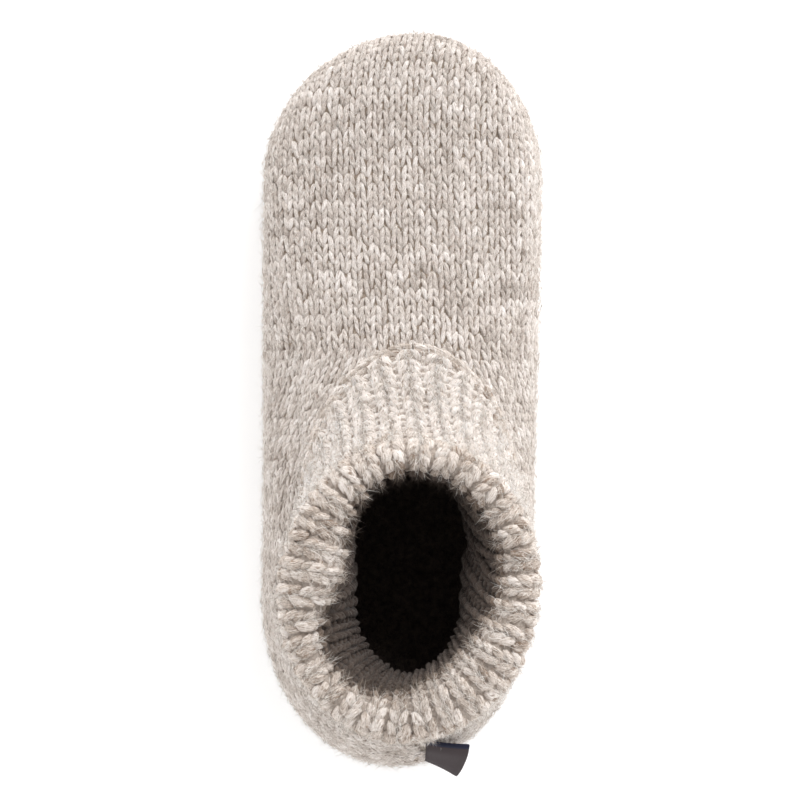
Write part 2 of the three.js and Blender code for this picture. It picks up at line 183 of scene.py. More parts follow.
@dataclass
class FootForm:
    """The outside of the knit foot, worked out from the same sizes as its solid."""

    length: float = 268.5 * MM
    width: float = 102 * MM
    instep_height: float = 66.5 * MM
    heel_height: float = 76 * MM
    turn: float = math.radians(0.75)
    toe_skew: float = 3.4 * MM
    toe_spring: float = 4 * MM
    arch_rise: float = 1.5 * MM
    base_height: float = 6.3 * MM
    collar_lean: float = 4.2 * MM
    spring_start: float = 0.54
    skew_start: float = 0.6
    arch_front: float = 0.25
    arch_rear: float = -0.4
    shift: Array = field(default_factory=lambda: np.zeros(3))

    def fit(self, low: Vector, high: Vector) -> None:
        """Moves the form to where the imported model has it.

        Args:
            low: Lowest corner of the knit's solid.
            high: Highest corner of the knit's solid.
        """
        rows, turns = np.meshgrid(np.linspace(0, LAST_RING, 91), np.linspace(0, FULL_TURN, 361))
        points = self.point(rows, turns)
        own_middle = (points.min((0, 1)) + points.max((0, 1))) / 2
        wanted = (np.array(low) + np.array(high)) / 2
        self.shift = np.array([wanted[0] - own_middle[0], wanted[1] - own_middle[1], 0.0])

    def ring_values(self, row: Array) -> Array:
        """Reads the ring table between its rows.

        Args:
            row: Heights in rings, of any shape.

        Returns:
            The table's columns, stacked first.
        """
        row = np.clip(row, 0.0, LAST_RING)
        low = np.floor(row).astype(int)
        share = (row - low)[..., None]
        before = FOOT_RINGS[np.maximum(low - 1, 0)]
        start = FOOT_RINGS[low]
        end = FOOT_RINGS[np.minimum(low + 1, LAST_RING)]
        after = FOOT_RINGS[np.minimum(low + 2, LAST_RING)]
        leave = (end - before) / 2
        arrive = (after - start) / 2
        cubic = (2 * start - 2 * end + leave + arrive) * share**3
        square = (3 * end - 3 * start - 2 * leave - arrive) * share**2
        return np.moveaxis(cubic + square + leave * share + start, -1, 0)

    def spring(self, y: Array) -> Array:
        """Returns how far the toe curls up at each place along the foot."""
        start = self.spring_start * self.length / 2
        share = np.maximum(0.0, (y - self.shift[1] - start) / (self.length / 2 - start))
        return self.toe_spring * share**2

    def arch(self, y: Array) -> Array:
        """Returns how far the underside lifts between heel and forefoot."""
        along = (y - self.shift[1]) / (self.length / 2)
        share = np.clip((along - self.arch_rear) / (self.arch_front - self.arch_rear), 0, 1)
        return self.arch_rise * np.sin(np.pi * share) ** 2

    def middle_line(self, y: Array) -> Array:
        """Returns how far the foot's middle line lies to the side at each place along it."""
        own_y = y - self.shift[1]
        along = own_y / (self.length / 2)
        share = np.maximum(0.0, (along - self.skew_start) / (1 - self.skew_start))
        return own_y * math.tan(self.turn) + self.toe_skew * share**3 + self.shift[0]

    def point(self, row: Array, turn: Array) -> Array:
        """Finds points on the outside of the knit.

        Args:
            row: Heights in rings, from 0 at the sole to 9 at the collar seam.
            turn: Places around the ring, counter-clockwise from the toe tip.

        Returns:
            The points, with x, y and z last.
        """
        row, turn = np.broadcast_arrays(np.asarray(row, float), np.asarray(turn, float))
        turn = np.mod(turn, FULL_TURN)
        side = np.where(turn <= FULL_TURN / 2, -1.0, 1.0)
        reach = np.where(turn <= FULL_TURN / 2, turn, FULL_TURN - turn)
        (front, rear, toe_cap, heel_cap, ball, ankle, waist, rise_front, rise_rear, lean) = (
            self.ring_values(row)
        )
        half_length = self.length / 2
        half_width = self.width / 2
        front_y = front * half_length
        rear_y = -rear * half_length
        ball_y = front_y - toe_cap * half_length
        ankle_y = rear_y + heel_cap * half_length
        toe_angle = np.clip(reach, 0, 1) * np.pi / 2
        side_share = np.clip(reach - 1, 0, 1)
        heel_angle = np.clip(reach - 2, 0, 1) * np.pi / 2
        zones = [reach < 1, reach < 2]
        y = np.select(
            zones,
            [mix(ball_y, front_y, np.cos(toe_angle)), mix(ball_y, ankle_y, side_share)],
            mix(ankle_y, rear_y, np.sin(heel_angle)),
        )
        drawn_in = waist * np.sin(np.pi * side_share) ** 2
        half = half_width * np.select(
            zones,
            [ball * np.sin(toe_angle), mix(ball, ankle, smooth(side_share)) - drawn_in],
            ankle * np.cos(heel_angle),
        )
        along = (y - rear_y) / (front_y - rear_y)
        rise = mix(
            rise_rear * (self.heel_height - self.base_height),
            rise_front * (self.instep_height - self.base_height),
            along,
        )
        placed_y = y + self.shift[1]
        x = side * half + self.middle_line(placed_y) + lean * self.collar_lean
        z = self.base_height + rise + self.spring(placed_y)
        return np.stack((x, placed_y, z), axis=-1)

    def normal(self, row: Array, turn: Array) -> Array:
        """Finds the directions square to the knit's outside, pointing away from the foot."""
        step = 0.01
        row = np.clip(row, step, LAST_RING - step)
        around = self.point(row, turn + step) - self.point(row, turn - step)
        climb = self.point(row + step, turn) - self.point(row - step, turn)
        return unit(np.cross(around, climb))


@dataclass
class CollarForm:
    """The ribbed collar's wall and rolled rim, worked out from the same sizes as its solid."""

    foot: FootForm
    length: float = 105.2 * MM
    width: float = 91 * MM
    rise_front: float = 51.5 * MM
    rise_back: float = 48 * MM
    set_in: float = 14.9 * MM
    rim_lean: float = 3.1 * MM
    rim_turn: float = math.radians(-6)
    rim_flare: float = 0.15
    rim_radius: float = 7.8 * MM
    wall: float = 8 * MM
    seam_gap: float = 0.3 * MM
    rib_count: int = 30
    rib_depth: float = 1.8 * MM
    rib_phase: float = -0.36  # in ribs
    seam_pull: float = 0.6  # how firmly the wall keeps its direction at the seam
    rim_pull: float = 0.85
    seam_swell: float = 0.4  # share of the ribs' depth at the seam
    swell_climb: float = 0.4  # how far up the wall the ribs reach their depth
    bulge_start: float = 1.4  # a station, as the next three
    bulge_length: float = 0.45
    deep_start: float = 1.9
    deep_length: float = 0.85

    def seam(self, share: Array) -> tuple[Array, Array, Array]:
        """Finds the collar seam at shares of its length, counter-clockwise from its front.

        Returns:
            The seam's points, and the directions out of the knit and up it.
        """
        turns = np.linspace(0, FULL_TURN, FINE_STEPS)
        edge = self.foot.point(LAST_RING, turns)
        outward = self.foot.normal(LAST_RING, turns)
        up = unit(np.cross(outward, unit(np.gradient(edge, axis=0))))
        passed = arc_lengths(edge)
        wanted = np.mod(share, 1.0) * passed[-1]
        read = [read_along(wanted, passed, values) for values in (edge, outward, up)]
        return read[0], unit(read[1]), unit(read[2])

    def rim(self, share: Array) -> tuple[Array, Array]:
        """Finds the rim's middle line at shares of its length, and where the wall heads there."""
        middle = np.array([self.rim_lean, self.set_in + (self.length - self.foot.length) / 2])
        angles = np.pi / 2 + np.linspace(0, 2 * np.pi, FINE_STEPS)
        x = (self.width / 2 - self.rim_radius) * np.cos(angles)
        y = (self.length / 2 - self.rim_radius) * np.sin(angles)
        cosine, sine = math.cos(self.rim_turn), math.sin(self.rim_turn)
        turned = np.stack((x * cosine - y * sine, x * sine + y * cosine), axis=-1)
        passed = arc_lengths(turned)
        flat = read_along(np.mod(share, 1.0) * passed[-1], passed, turned)
        flare = unit(flat) * self.rim_flare
        place = flat + middle
        along = (place[..., 1] + self.foot.length / 2 - self.set_in) / self.length
        front = self.foot.instep_height + self.rise_front
        back = self.foot.heel_height + self.rise_back
        height = mix(back, front, along) - self.rim_radius
        point = np.concatenate((place + self.foot.shift[:2], height[..., None]), axis=-1)
        arrive = np.concatenate((flare, np.ones_like(height)[..., None]), axis=-1)
        return point, unit(arrive)

    def wall_middle(self, share: Array, climb: Array) -> tuple[Array, Array]:
        """Finds the middle of the wall, and its direction, from the seam (0) to the rim (1)."""
        edge, outward, leave = self.seam(share)
        start = edge + leave * self.seam_gap - outward * self.wall / 2
        end, arrive = self.rim(share)
        span = np.linalg.norm(end - start, axis=-1, keepdims=True)
        s = climb[..., None]
        point = (
            start * (2 * s**3 - 3 * s**2 + 1)
            + leave * (s**3 - 2 * s**2 + s) * self.seam_pull * span
            + end * (3 * s**2 - 2 * s**3)
            + arrive * (s**3 - s**2) * self.rim_pull * span
        )
        direction = (
            start * (6 * s**2 - 6 * s)
            + leave * (3 * s**2 - 4 * s + 1) * self.seam_pull * span
            + end * (6 * s - 6 * s**2)
            + arrive * (3 * s**2 - 2 * s) * self.rim_pull * span
        )
        return point, unit(direction)

    def swell(self, climb: Array) -> Array:
        """Returns how far the ribs stand out, which is less at the seam."""
        return self.rib_depth * mix(self.seam_swell, 1.0, smooth(climb / self.swell_climb))

    def surface(self, share: Array, station: Array, proud: Array) -> tuple[Array, Array]:
        """Finds points on the collar, up its outside, over the rim and down its inside.

        Args:
            share: Places around the collar, counter-clockwise from its front.
            station: 0 to 1 up the outside, 1 to 2 over the rim, 2 to 3 down the inside.
            proud: How far the points stand off the bottom of the grooves.

        Returns:
            The points and the directions out of the wall.
        """
        share, station, proud = np.broadcast_arrays(
            *(np.asarray(value, float) for value in (share, station, proud))
        )
        climb = climb_at(station)
        point, direction = self.wall_middle(share, climb)
        step = 0.002
        ahead, _ = self.wall_middle(share + step, climb)
        behind, _ = self.wall_middle(share - step, climb)
        outward = unit(np.cross(ahead - behind, direction))
        angle = (np.clip(station, 1.0, 2.0) - 1.0)[..., None] * np.pi
        normal = np.cos(angle) * outward + np.sin(angle) * direction
        half_wall = mix(self.wall / 2, self.rim_radius - self.rib_depth, smooth(climb))
        reach = half_wall + proud + self.bulge(share, station)
        return point + normal * reach[..., None], normal

    def bulge(self, share: Array, station: Array) -> Array:
        """Returns how far the folded rib bulges into the throat."""
        around, rim_values, deep_values = THROAT_BULGES.T
        turned = np.mod(share, 1.0)
        at_rim = np.interp(turned, around, rim_values) * MM
        at_depth = np.interp(turned, around, deep_values) * MM
        inward = smooth((station - self.bulge_start) / self.bulge_length)
        deep = smooth((station - self.deep_start) / self.deep_length)
        return inward * at_rim + deep * (at_depth - at_rim)


@dataclass(frozen=True)
class YarnLine:
    """A line on a surface along which yarn is laid, with its directions at each point."""

    points: Array
    normals: Array
    widths: Array
    passed: Array

    @staticmethod
    def over(points: Array, normals: Array, widths: Array | None = None) -> YarnLine:
        """Makes a line over points, with the surface's normals and the line's width there."""
        if widths is None:
            widths = np.ones(len(points))
        return YarnLine(points, normals, widths, arc_lengths(points))

    def place(self, along: Array, across: Array, height: Array) -> Array:
        """Lays points out along the line, so that they bend with it.

        Args:
            along: Distances from the line's start.
            across: Distances to the side.
            height: Distances off the surface.

        Returns:
            The points, with x, y and z last.
        """
        tangents = unit(np.gradient(self.points, axis=0))
        sideways = unit(np.cross(self.normals, tangents))
        width = np.interp(along, self.passed, self.widths)
        return (
            read_along(along, self.passed, self.points)
            + read_along(along, self.passed, sideways) * (across * width)[..., None]
            + read_along(along, self.passed, self.normals) * height[..., None]
        )


@dataclass(frozen=True)
class StitchRun:
    """The stitches laid along one yarn line: their places, lengths, tones, sizes and shades."""

    line: YarnLine
    centres: Array
    pitches: Array
    tones: Array
    sizes: Array
    shades: Array

    @staticmethod
    def even(line: YarnLine, centres: Array, pitches: Array, tones: Array) -> StitchRun:
        """Makes a run of stitches of the usual size, in full light."""
        return StitchRun(line, centres, pitches, tones, np.ones_like(tones), np.zeros_like(tones))

    def only(self, keep: Array) -> StitchRun:
        """Returns the run with some of its stitches."""
        values = (self.centres, self.pitches, self.tones, self.sizes, self.shades)
        return StitchRun(self.line, *(value[keep] for value in values))


def marl(
    random: Random, courses: int, columns: int, run_length: int, change: float = 0.09
) -> Array:
    """Makes the slow change of tone along a marled yarn, which runs from column to column.

    Args:
        random: The source of the change.
        courses: How many rows of stitches there are.
        columns: How many columns there are.
        run_length: Over how many stitches a tone lasts.
        change: How much the tone usually changes.

    Returns:
        Tones from 0 to 1, as (courses, columns).
    """
    noise = random.normal(0, 1, (courses, columns + run_length - 1))
    window = np.hanning(run_length + 2)[1:-1]
    window /= np.linalg.norm(window)
    eased = np.stack([np.convolve(row, window, mode="valid") for row in noise])
    return np.clip(0.5 + change * eased, 0.0, 1.0)


@dataclass(frozen=True)
class Grain:
    """A small closed shape, repeated for every leg of a stitch or every other small thing."""

    points: Array
    corners: Array
    sizes: Array

    @staticmethod
    def from_bmesh(shape: bmesh.types.BMesh) -> Grain:
        """Reads the points and faces of a shape, and frees it."""
        shape.verts.ensure_lookup_table()
        points = np.array([vertex.co for vertex in shape.verts])
        # Blender's own order of the faces can differ from run to run, so they are sorted.
        faces = sorted([vertex.index for vertex in face.verts] for face in shape.faces)
        shape.free()
        return Grain(points, np.concatenate(faces), np.array([len(face) for face in faces]))

    @staticmethod
    def round_grain(around: int, along: int) -> Grain:
        """Makes a ball of so many faces around and along its height."""
        shape = bmesh.new()
        bmesh.ops.create_uvsphere(shape, u_segments=around, v_segments=along, radius=1.0)
        bmesh.ops.recalc_face_normals(shape, faces=shape.faces)
        return Grain.from_bmesh(shape)


@dataclass
class SmallPieces:
    """Many small shapes, gathered and joined into one mesh."""

    grain: Grain
    points: list[Array] = field(default_factory=list)
    yarn: list[Array] = field(default_factory=list)
    tone: list[Array] = field(default_factory=list)
    shade: list[Array] = field(default_factory=list)

    def add(self, points: Array, yarn: Array, tone: Array, shade: Array | None = None) -> None:
        """Adds copies of the shape.

        Args:
            points: The copies' points, as (copies, points, 3).
            yarn: Where each point is on its yarn: across, along, and the yarn's number.
            tone: Each copy's lightness from 0 to 1.
            shade: How much painted shade each copy takes down the dark throat, from 0 to 1.
        """
        count = points.shape[1]
        if shade is None:
            shade = np.zeros(len(points))
        self.points.append(points)
        self.yarn.append(yarn)
        self.tone.append(np.repeat(tone, count))
        self.shade.append(np.repeat(shade, count))

    def yarn_places(self, copies: int, random: Random) -> Array:
        """Says where each point of some copies is on its yarn, with a yarn for each copy.

        Args:
            copies: How many copies there are.
            random: The source of the yarns' numbers.

        Returns:
            Places across and along the yarn and its number, as (copies, points, 3).
        """
        number = random.random((copies, 1)) * YARN_NUMBERS
        across, _, along = self.grain.points.T
        whole = (copies, len(across))
        return np.stack([np.broadcast_to(v, whole) for v in (across, along, number)], axis=-1)

    def mesh_object(self, name: str) -> bpy.types.Object:
        """Joins the copies into one object with the attributes yarn, tone and shade."""
        points = np.concatenate(self.points)
        copies = len(points)
        count = len(self.grain.points)
        offsets = np.arange(copies)[:, None] * count
        corners = (self.grain.corners[None, :] + offsets).ravel()
        sizes = np.tile(self.grain.sizes, copies)
        mesh = bpy.data.meshes.new(name)
        mesh.vertices.add(copies * count)
        mesh.vertices.foreach_set("co", points.reshape(-1).astype(np.float32))
        mesh.loops.add(len(corners))
        mesh.loops.foreach_set("vertex_index", corners.astype(np.int32))
        mesh.polygons.add(len(sizes))
        starts = np.concatenate(([0], np.cumsum(sizes)[:-1]))
        mesh.polygons.foreach_set("loop_start", starts.astype(np.int32))
        mesh.update(calc_edges=True)
        mesh.validate()
        mesh.shade_smooth()
        yarn = mesh.attributes.new("yarn", "FLOAT_VECTOR", "POINT")
        yarn.data.foreach_set("vector", np.concatenate(self.yarn).reshape(-1).astype(np.float32))
        for label, values in (("tone", self.tone), ("shade", self.shade)):
            attribute = mesh.attributes.new(label, "FLOAT", "POINT")
            attribute.data.foreach_set("value", np.concatenate(values).astype(np.float32))
        return linked_object(name, mesh)


def linked_object(name: str, data: bpy.types.ID) -> bpy.types.Object:
    """Makes an object of a mesh, a light or a camera, at the origin, in the scene."""
    piece = bpy.data.objects.new(name, data)
    bpy.context.scene.collection.objects.link(piece)
    return piece


def lofted_object(
    name: str, rings: Array, closes_along: bool, attributes: dict[str, Array] | None = None
) -> bpy.types.Object:
    """Skins rings of points into a closed form.

    Args:
        name: The object's name.
        rings: Points as (rings, places, 3), each ring closed on itself.
        closes_along: Whether the last ring joins the first, as on a wall with two faces.
            Otherwise flat faces close both ends.
        attributes: Values for each point, as (rings, places, 3), by name.

    Returns:
        The object, with faces that point outwards.
    """
    columns = {"place": rings, **(attributes or {})}
    for label, values in columns.items():
        if closes_along:
            values = np.concatenate((values, values[:1]))
        columns[label] = np.concatenate((values, values[:, :1]), axis=1)
    rings = columns.pop("place")
    count_along, count_around = rings.shape[:2]
    shape = bmesh.new()
    bmesh.ops.create_grid(
        shape, x_segments=count_around - 1, y_segments=count_along - 1, size=1.0
    )
    layers = {label: shape.verts.layers.float_vector.new(label) for label in columns}
    ordered = sorted(
        shape.verts, key=lambda vertex: (round(vertex.co.y, 6), round(vertex.co.x, 6))
    )
    for vertex, place in zip(ordered, rings.reshape(-1, 3)):
        vertex.co = place
    for label, values in columns.items():
        for vertex, value in zip(ordered, values.reshape(-1, 3)):
            vertex[layers[label]] = Vector(value)
    bmesh.ops.remove_doubles(shape, verts=shape.verts, dist=1e-7)
    if not closes_along:
        rims = [edge for edge in shape.edges if edge.is_boundary]
        bmesh.ops.holes_fill(shape, edges=rims, sides=0)
    bmesh.ops.recalc_face_normals(shape, faces=shape.faces)
    mesh = bpy.data.meshes.new(name)
    shape.to_mesh(mesh)
    shape.free()
    mesh.shade_smooth()
    return linked_object(name, mesh)


def linear(colour: str) -> tuple[float, float, float, float]:
    """Turns an sRGB hex colour into the linear colour that a shader takes."""
    parts = [int(colour[start : start + 2], 16) / 255 for start in (1, 3, 5)]
    turned = [c / 12.92 if c <= 0.04045 else ((c + 0.055) / 1.055) ** 2.4 for c in parts]
    return turned[0], turned[1], turned[2], 1.0


def add_node(
    tree: bpy.types.NodeTree,
    kind: str,
    inputs: dict[str, object] | None = None,
    stops: tuple[tuple[float, str], ...] = (),
    **settings: object,
) -> bpy.types.Node:
    """Adds a node with its settings and inputs.

    Args:
        tree: The material's node tree.
        kind: The node's type, without the words that every type starts with.
        inputs: A socket to join, a hex colour or a value, by the identifier of its input.
        stops: Places and hex colours of a colour ramp.
        settings: The node's own properties.

    Returns:
        The node.
    """
    node = tree.nodes.new(f"ShaderNode{kind}")
    for name, value in settings.items():
        setattr(node, name, value)
    sockets = {socket.identifier: socket for socket in node.inputs}
    for name, value in (inputs or {}).items():
        if isinstance(value, Socket):
            tree.links.new(value, sockets[name])
        else:
            sockets[name].default_value = linear(value) if isinstance(value, str) else value
    for number, (place, colour) in enumerate(stops):
        elements = node.color_ramp.elements
        stop = elements[number] if number < 2 else elements.new(place)
        stop.position = place
        stop.color = linear(colour)
    return node


class Finish:
    """A material being made, with the steps that the finishes share."""

    def __init__(self, name: str) -> None:
        """Starts a material with an empty tree."""
        self.material = bpy.data.materials.new(name)
        self.material.use_nodes = True
        self.tree = self.material.node_tree
        self.tree.nodes.clear()

    def step(
        self, kind: str, inputs: dict[str, object] | None = None, **settings: object
    ) -> Socket:
        """Adds a node and returns its first output."""
        return add_node(self.tree, kind, inputs, **settings).outputs[0]

    def attribute(self, name: str, output: str = "Fac") -> Socket:
        """Reads an attribute of the mesh."""
        return add_node(self.tree, "Attribute", attribute_name=name).outputs[output]

    def place(self) -> Socket:
        """Reads the place on the object."""
        return add_node(self.tree, "TexCoord").outputs["Object"]

    def noise(self, place: Socket, size: float, detail: float, roughness: float = 0.5) -> Socket:
        """Makes cloudy noise.

        Args:
            place: The coordinate.
            size: How large the clouds are.
            detail: How many times finer clouds are added.
            roughness: How much the finer clouds count.

        Returns:
            Values from 0 to 1.
        """
        values = {"Scale": 1 / size, "Detail": detail, "Roughness": roughness}
        return self.step("TexNoise", {"Vector": place, **values})

    def ramp(self, share: Socket, *stops: tuple[float, str]) -> Socket:
        """Turns values into colours."""
        return self.step("ValToRGB", {"Fac": share}, stops=stops)

    def blend(self, low: Socket, high: Socket, share: float) -> Socket:
        """Mixes two values."""
        inputs = {"Factor_Float": share, "A_Float": low, "B_Float": high}
        return self.step("Mix", inputs, data_type="FLOAT")

    def tint(self, low: Socket | str, high: str, share: Socket) -> Socket:
        """Mixes two colours."""
        inputs = {"Factor_Float": share, "A_Color": low, "B_Color": high}
        return add_node(self.tree, "Mix", inputs, data_type="RGBA").outputs[2]

    def calculate(self, operation: str, first: Socket, second: Socket | float) -> Socket:
        """Works out one value from two."""
        return self.step("Math", {"Value": first, "Value_001": second}, operation=operation)

    def multiplied(self, vector: Socket, factors: Socket | tuple[float, ...]) -> Socket:
        """Multiplies a vector or colour by factors, one for each of its parts."""
        inputs = {"Vector": vector, "Vector_001": factors}
        return self.step("VectorMath", inputs, operation="MULTIPLY")

    def painted_throat_shade(self, colour: Socket) -> Socket:
        """Browns a colour by the attribute shade: painted shade on the wool from the rim down the
        throat.
        """
        return self.multiplied(colour, self.ramp(self.attribute("shade"), *THROAT_SHADE_STOPS))

    def bumps(self, height: Socket, strength: float, relief: float) -> Socket:
        """Makes bumps from a height, of a strength and a relief in metres."""
        return self.step("Bump", {"Height": height, "Strength": strength, "Distance": relief})

    def done(
        self,
        colour: Socket | tuple[float, ...],
        roughness: float,
        gloss: float,
        others: dict[str, object] | None = None,
    ) -> bpy.types.Material:
        """Ends the material with its surface.

        Args:
            colour: The surface's colour.
            roughness: How rough it is.
            gloss: How much it mirrors, where a usual plastic has 0.5.
            others: More inputs of the surface, by their identifier.

        Returns:
            The material.
        """
        inputs = {"Base Color": colour, "Roughness": roughness, "Specular IOR Level": gloss}
        shader = self.step("BsdfPrincipled", {**inputs, **(others or {})})
        add_node(self.tree, "OutputMaterial", {"Surface": shader})
        return self.material


@dataclass(frozen=True)
class BrushedWool:
    """Brushed marl wool: many fine fibre ends, so dull, streaked and haloed in light."""

    name: str = "brushed marl wool"
    shadow: str = "#8f847c"
    body: str = "#cfc5bd"
    light: str = "#f5efeb"
    fleck: str = "#9a877b"
    halo: str = "#fff6ee"
    strands_across: float = 4.2
    streaks_along: float = 1.1
    yarn_change: float = 7.3
    streak_share: float = 0.62
    pile_size: float = 0.45 * MM
    pile_share: float = 0.3
    fleck_stretch: tuple[float, float, float] = (4.1, 1.7, 13.1)
    fleck_start: float = 0.55  # where the noise starts to show a fleck
    fleck_end: float = 0.7
    fleck_strength: float = 0.8
    relief: float = 0.5 * MM
    sheen: float = 0.35
    roughness: float = 0.92

    def material(self) -> bpy.types.Material:
        """Builds the yarn's material from the attributes yarn, tone and shade."""
        finish = Finish(self.name)
        yarn = finish.attribute("yarn", "Vector")
        # Fine strands run the length of each leg, and the spun pile has ends all over.
        stretch = (self.strands_across, self.streaks_along, self.yarn_change)
        streak = finish.noise(finish.multiplied(yarn, stretch), 1.0, 2.0, 0.6)
        pile = finish.noise(finish.place(), self.pile_size, 2.0, 0.7)
        lightness = finish.blend(finish.attribute("tone"), streak, self.streak_share)
        lightness = finish.blend(lightness, pile, self.pile_share)
        colour = finish.ramp(
            lightness, (0.35, self.shadow), (0.63, self.light), (0.48, self.body)
        )
        # Single darker fibres of the marl show as flecks.
        fleck_noise = finish.noise(finish.multiplied(yarn, self.fleck_stretch), 1.0, 1.0)
        limits = {"From Min": self.fleck_start, "From Max": self.fleck_end}
        reach = {"To Min": 0.0, "To Max": self.fleck_strength}
        fleck_share = finish.step("MapRange", {"Value": fleck_noise, **limits, **reach})
        # Painted shade browns the wool down the throat, by the attribute shade.
        colour = finish.painted_throat_shade(finish.tint(colour, self.fleck, fleck_share))
        bumps = finish.bumps(finish.calculate("ADD", streak, pile), 0.7, self.relief)
        sheen = {"Sheen Weight": self.sheen, "Sheen Roughness": 0.5, "Sheen Tint": self.halo}
        return finish.done(colour, self.roughness, 0.25, {"Normal": bumps, **sheen})


@dataclass(frozen=True)
class PilePlush:
    """Short cut pile: soft clumps a couple of millimetres across that swallow light."""

    name: str
    deep: str
    face: str
    clump_size: float = 2.4 * MM
    fibre_size: float = 0.5 * MM
    fibre_share: float = 0.4
    relief: float = 1.2 * MM
    sheen: float = 0.2
    roughness: float = 0.97

    def material(self) -> bpy.types.Material:
        """Builds the pile's material."""
        finish = Finish(self.name)
        place = finish.place()
        clumps = finish.noise(place, self.clump_size, 3.0, 0.65)
        fibres = finish.noise(place, self.fibre_size, 2.0, 0.7)
        nap = finish.blend(clumps, fibres, self.fibre_share)
        # Painted throat shade, where the piece has the attribute shade.
        colour = finish.painted_throat_shade(finish.ramp(nap, (0.34, self.deep), (0.64, self.face)))
        bumps = finish.bumps(nap, 0.8, self.relief)
        sheen = {"Sheen Weight": self.sheen, "Sheen Roughness": 0.6}
        return finish.done(colour, self.roughness, 0.15, {"Normal": bumps, **sheen})


@dataclass(frozen=True)
class WovenTape:
    """Damask label tape: fine polyester warp and weft, 0.35 mm apart, with a faint gloss."""

    name: str = "woven polyester tape"
    warp: str = "#281e20"
    weft: str = "#3a2d2f"
    edge: str = "#1b1e33"
    edge_width: float = 0.9 * MM
    thread_pitch: float = 0.35 * MM
    bands_at_scale_one: float = 3.2
    relief: float = 0.12 * MM

    def material(self) -> bpy.types.Material:
        """Builds the tape's material from crossed bands of thread, from the attribute tape."""
        finish = Finish(self.name)
        place = finish.attribute("tape", "Vector")
        drop = add_node(finish.tree, "SeparateXYZ", {"Vector": place}).outputs["Y"]
        scale = 1 / self.thread_pitch / self.bands_at_scale_one
        band = {"Vector": place, "Scale": scale, "Distortion": 0.4, "Detail": 1.0}
        threads = [
            add_node(finish.tree, "TexWave", band, bands_direction=direction).outputs["Fac"]
            for direction in ("X", "Y")
        ]
        weave = finish.calculate("MULTIPLY", *threads)
        is_edge = finish.calculate("LESS_THAN", drop, self.edge_width)
        colour = finish.tint(finish.tint(self.warp, self.weft, weave), self.edge, is_edge)
        return finish.done(colour, 0.75, 0.3, {"Normal": finish.bumps(weave, 0.6, self.relief)})


@dataclass(frozen=True)
class GripRubber:
    """Matt black rubber with a faint mottle."""

    name: str = "matt grip rubber"
    low: str = "#1c1b1b"
    high: str = "#262424"
    mottle_size: float = 4 * MM
    roughness: float = 0.6

    def material(self) -> bpy.types.Material:
        """Builds the rubber's material."""
        finish = Finish(self.name)
        mottle = finish.noise(finish.place(), self.mottle_size, 2.0)
        colour = finish.ramp(mottle, (0.35, self.low), (0.65, self.high))
        return finish.done(colour, self.roughness, 0.3)


@dataclass(frozen=True)
class LooseHair:
    """Loose wool hairs, each of one colour from brown to cream."""

    name: str = "loose wool hairs"
    brown: str = "#8c7c6e"
    oatmeal: str = "#d5cbc2"
    cream: str = "#fbf7f2"
    roughness: float = 0.8

    def material(self) -> bpy.types.Material:
        """Builds the hairs' material from the attributes tone and shade."""
        finish = Finish(self.name)
        stops = ((0.05, self.brown), (0.65, self.cream), (0.25, self.oatmeal))
        colour = finish.ramp(finish.attribute("tone"), *stops)
        # The hairs take the painted throat shade of the stitches that they grow from.
        return finish.done(finish.painted_throat_shade(colour), self.roughness, 0.3)


def finish_piece(
    piece: bpy.types.Object, material: bpy.types.Material, node: str | None = None
) -> bpy.types.Object:
    """Gives a piece its material, hangs it on the body and hides the solid that it stands for.

    Args:
        piece: The new object.
        material: Its finish.
        node: The solid that it stands for, if it stands for one.

    Returns:
        The object.
    """
    piece.data.materials.append(material)
    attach(piece, BODY)
    if node:
        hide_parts(node)
    triangles = sum(len(face.vertices) - 2 for face in piece.data.polygons)
    LOG.info("%s: %d triangles", piece.name, triangles)
    return piece


@dataclass(kw_only=True)
class YarnShape:
    """A short, plump length of yarn."""

    half_width: float
    half_height: float
    arch: float
    jitter: float
    around: int
    along: int
    fullness: float = 0.75

    def grain(self) -> Grain:
        """Makes the yarn's faces, plumper towards its ends than a ball."""
        at_pole = 1e-6
        ball = Grain.round_grain(self.around, self.along)
        radius = np.linalg.norm(ball.points[:, :2], axis=1, keepdims=True)
        points = ball.points.copy()
        points[:, :2] *= np.maximum(radius, at_pole) ** (self.fullness - 1.0) * (radius > at_pole)
        return Grain(points, ball.corners, ball.sizes)


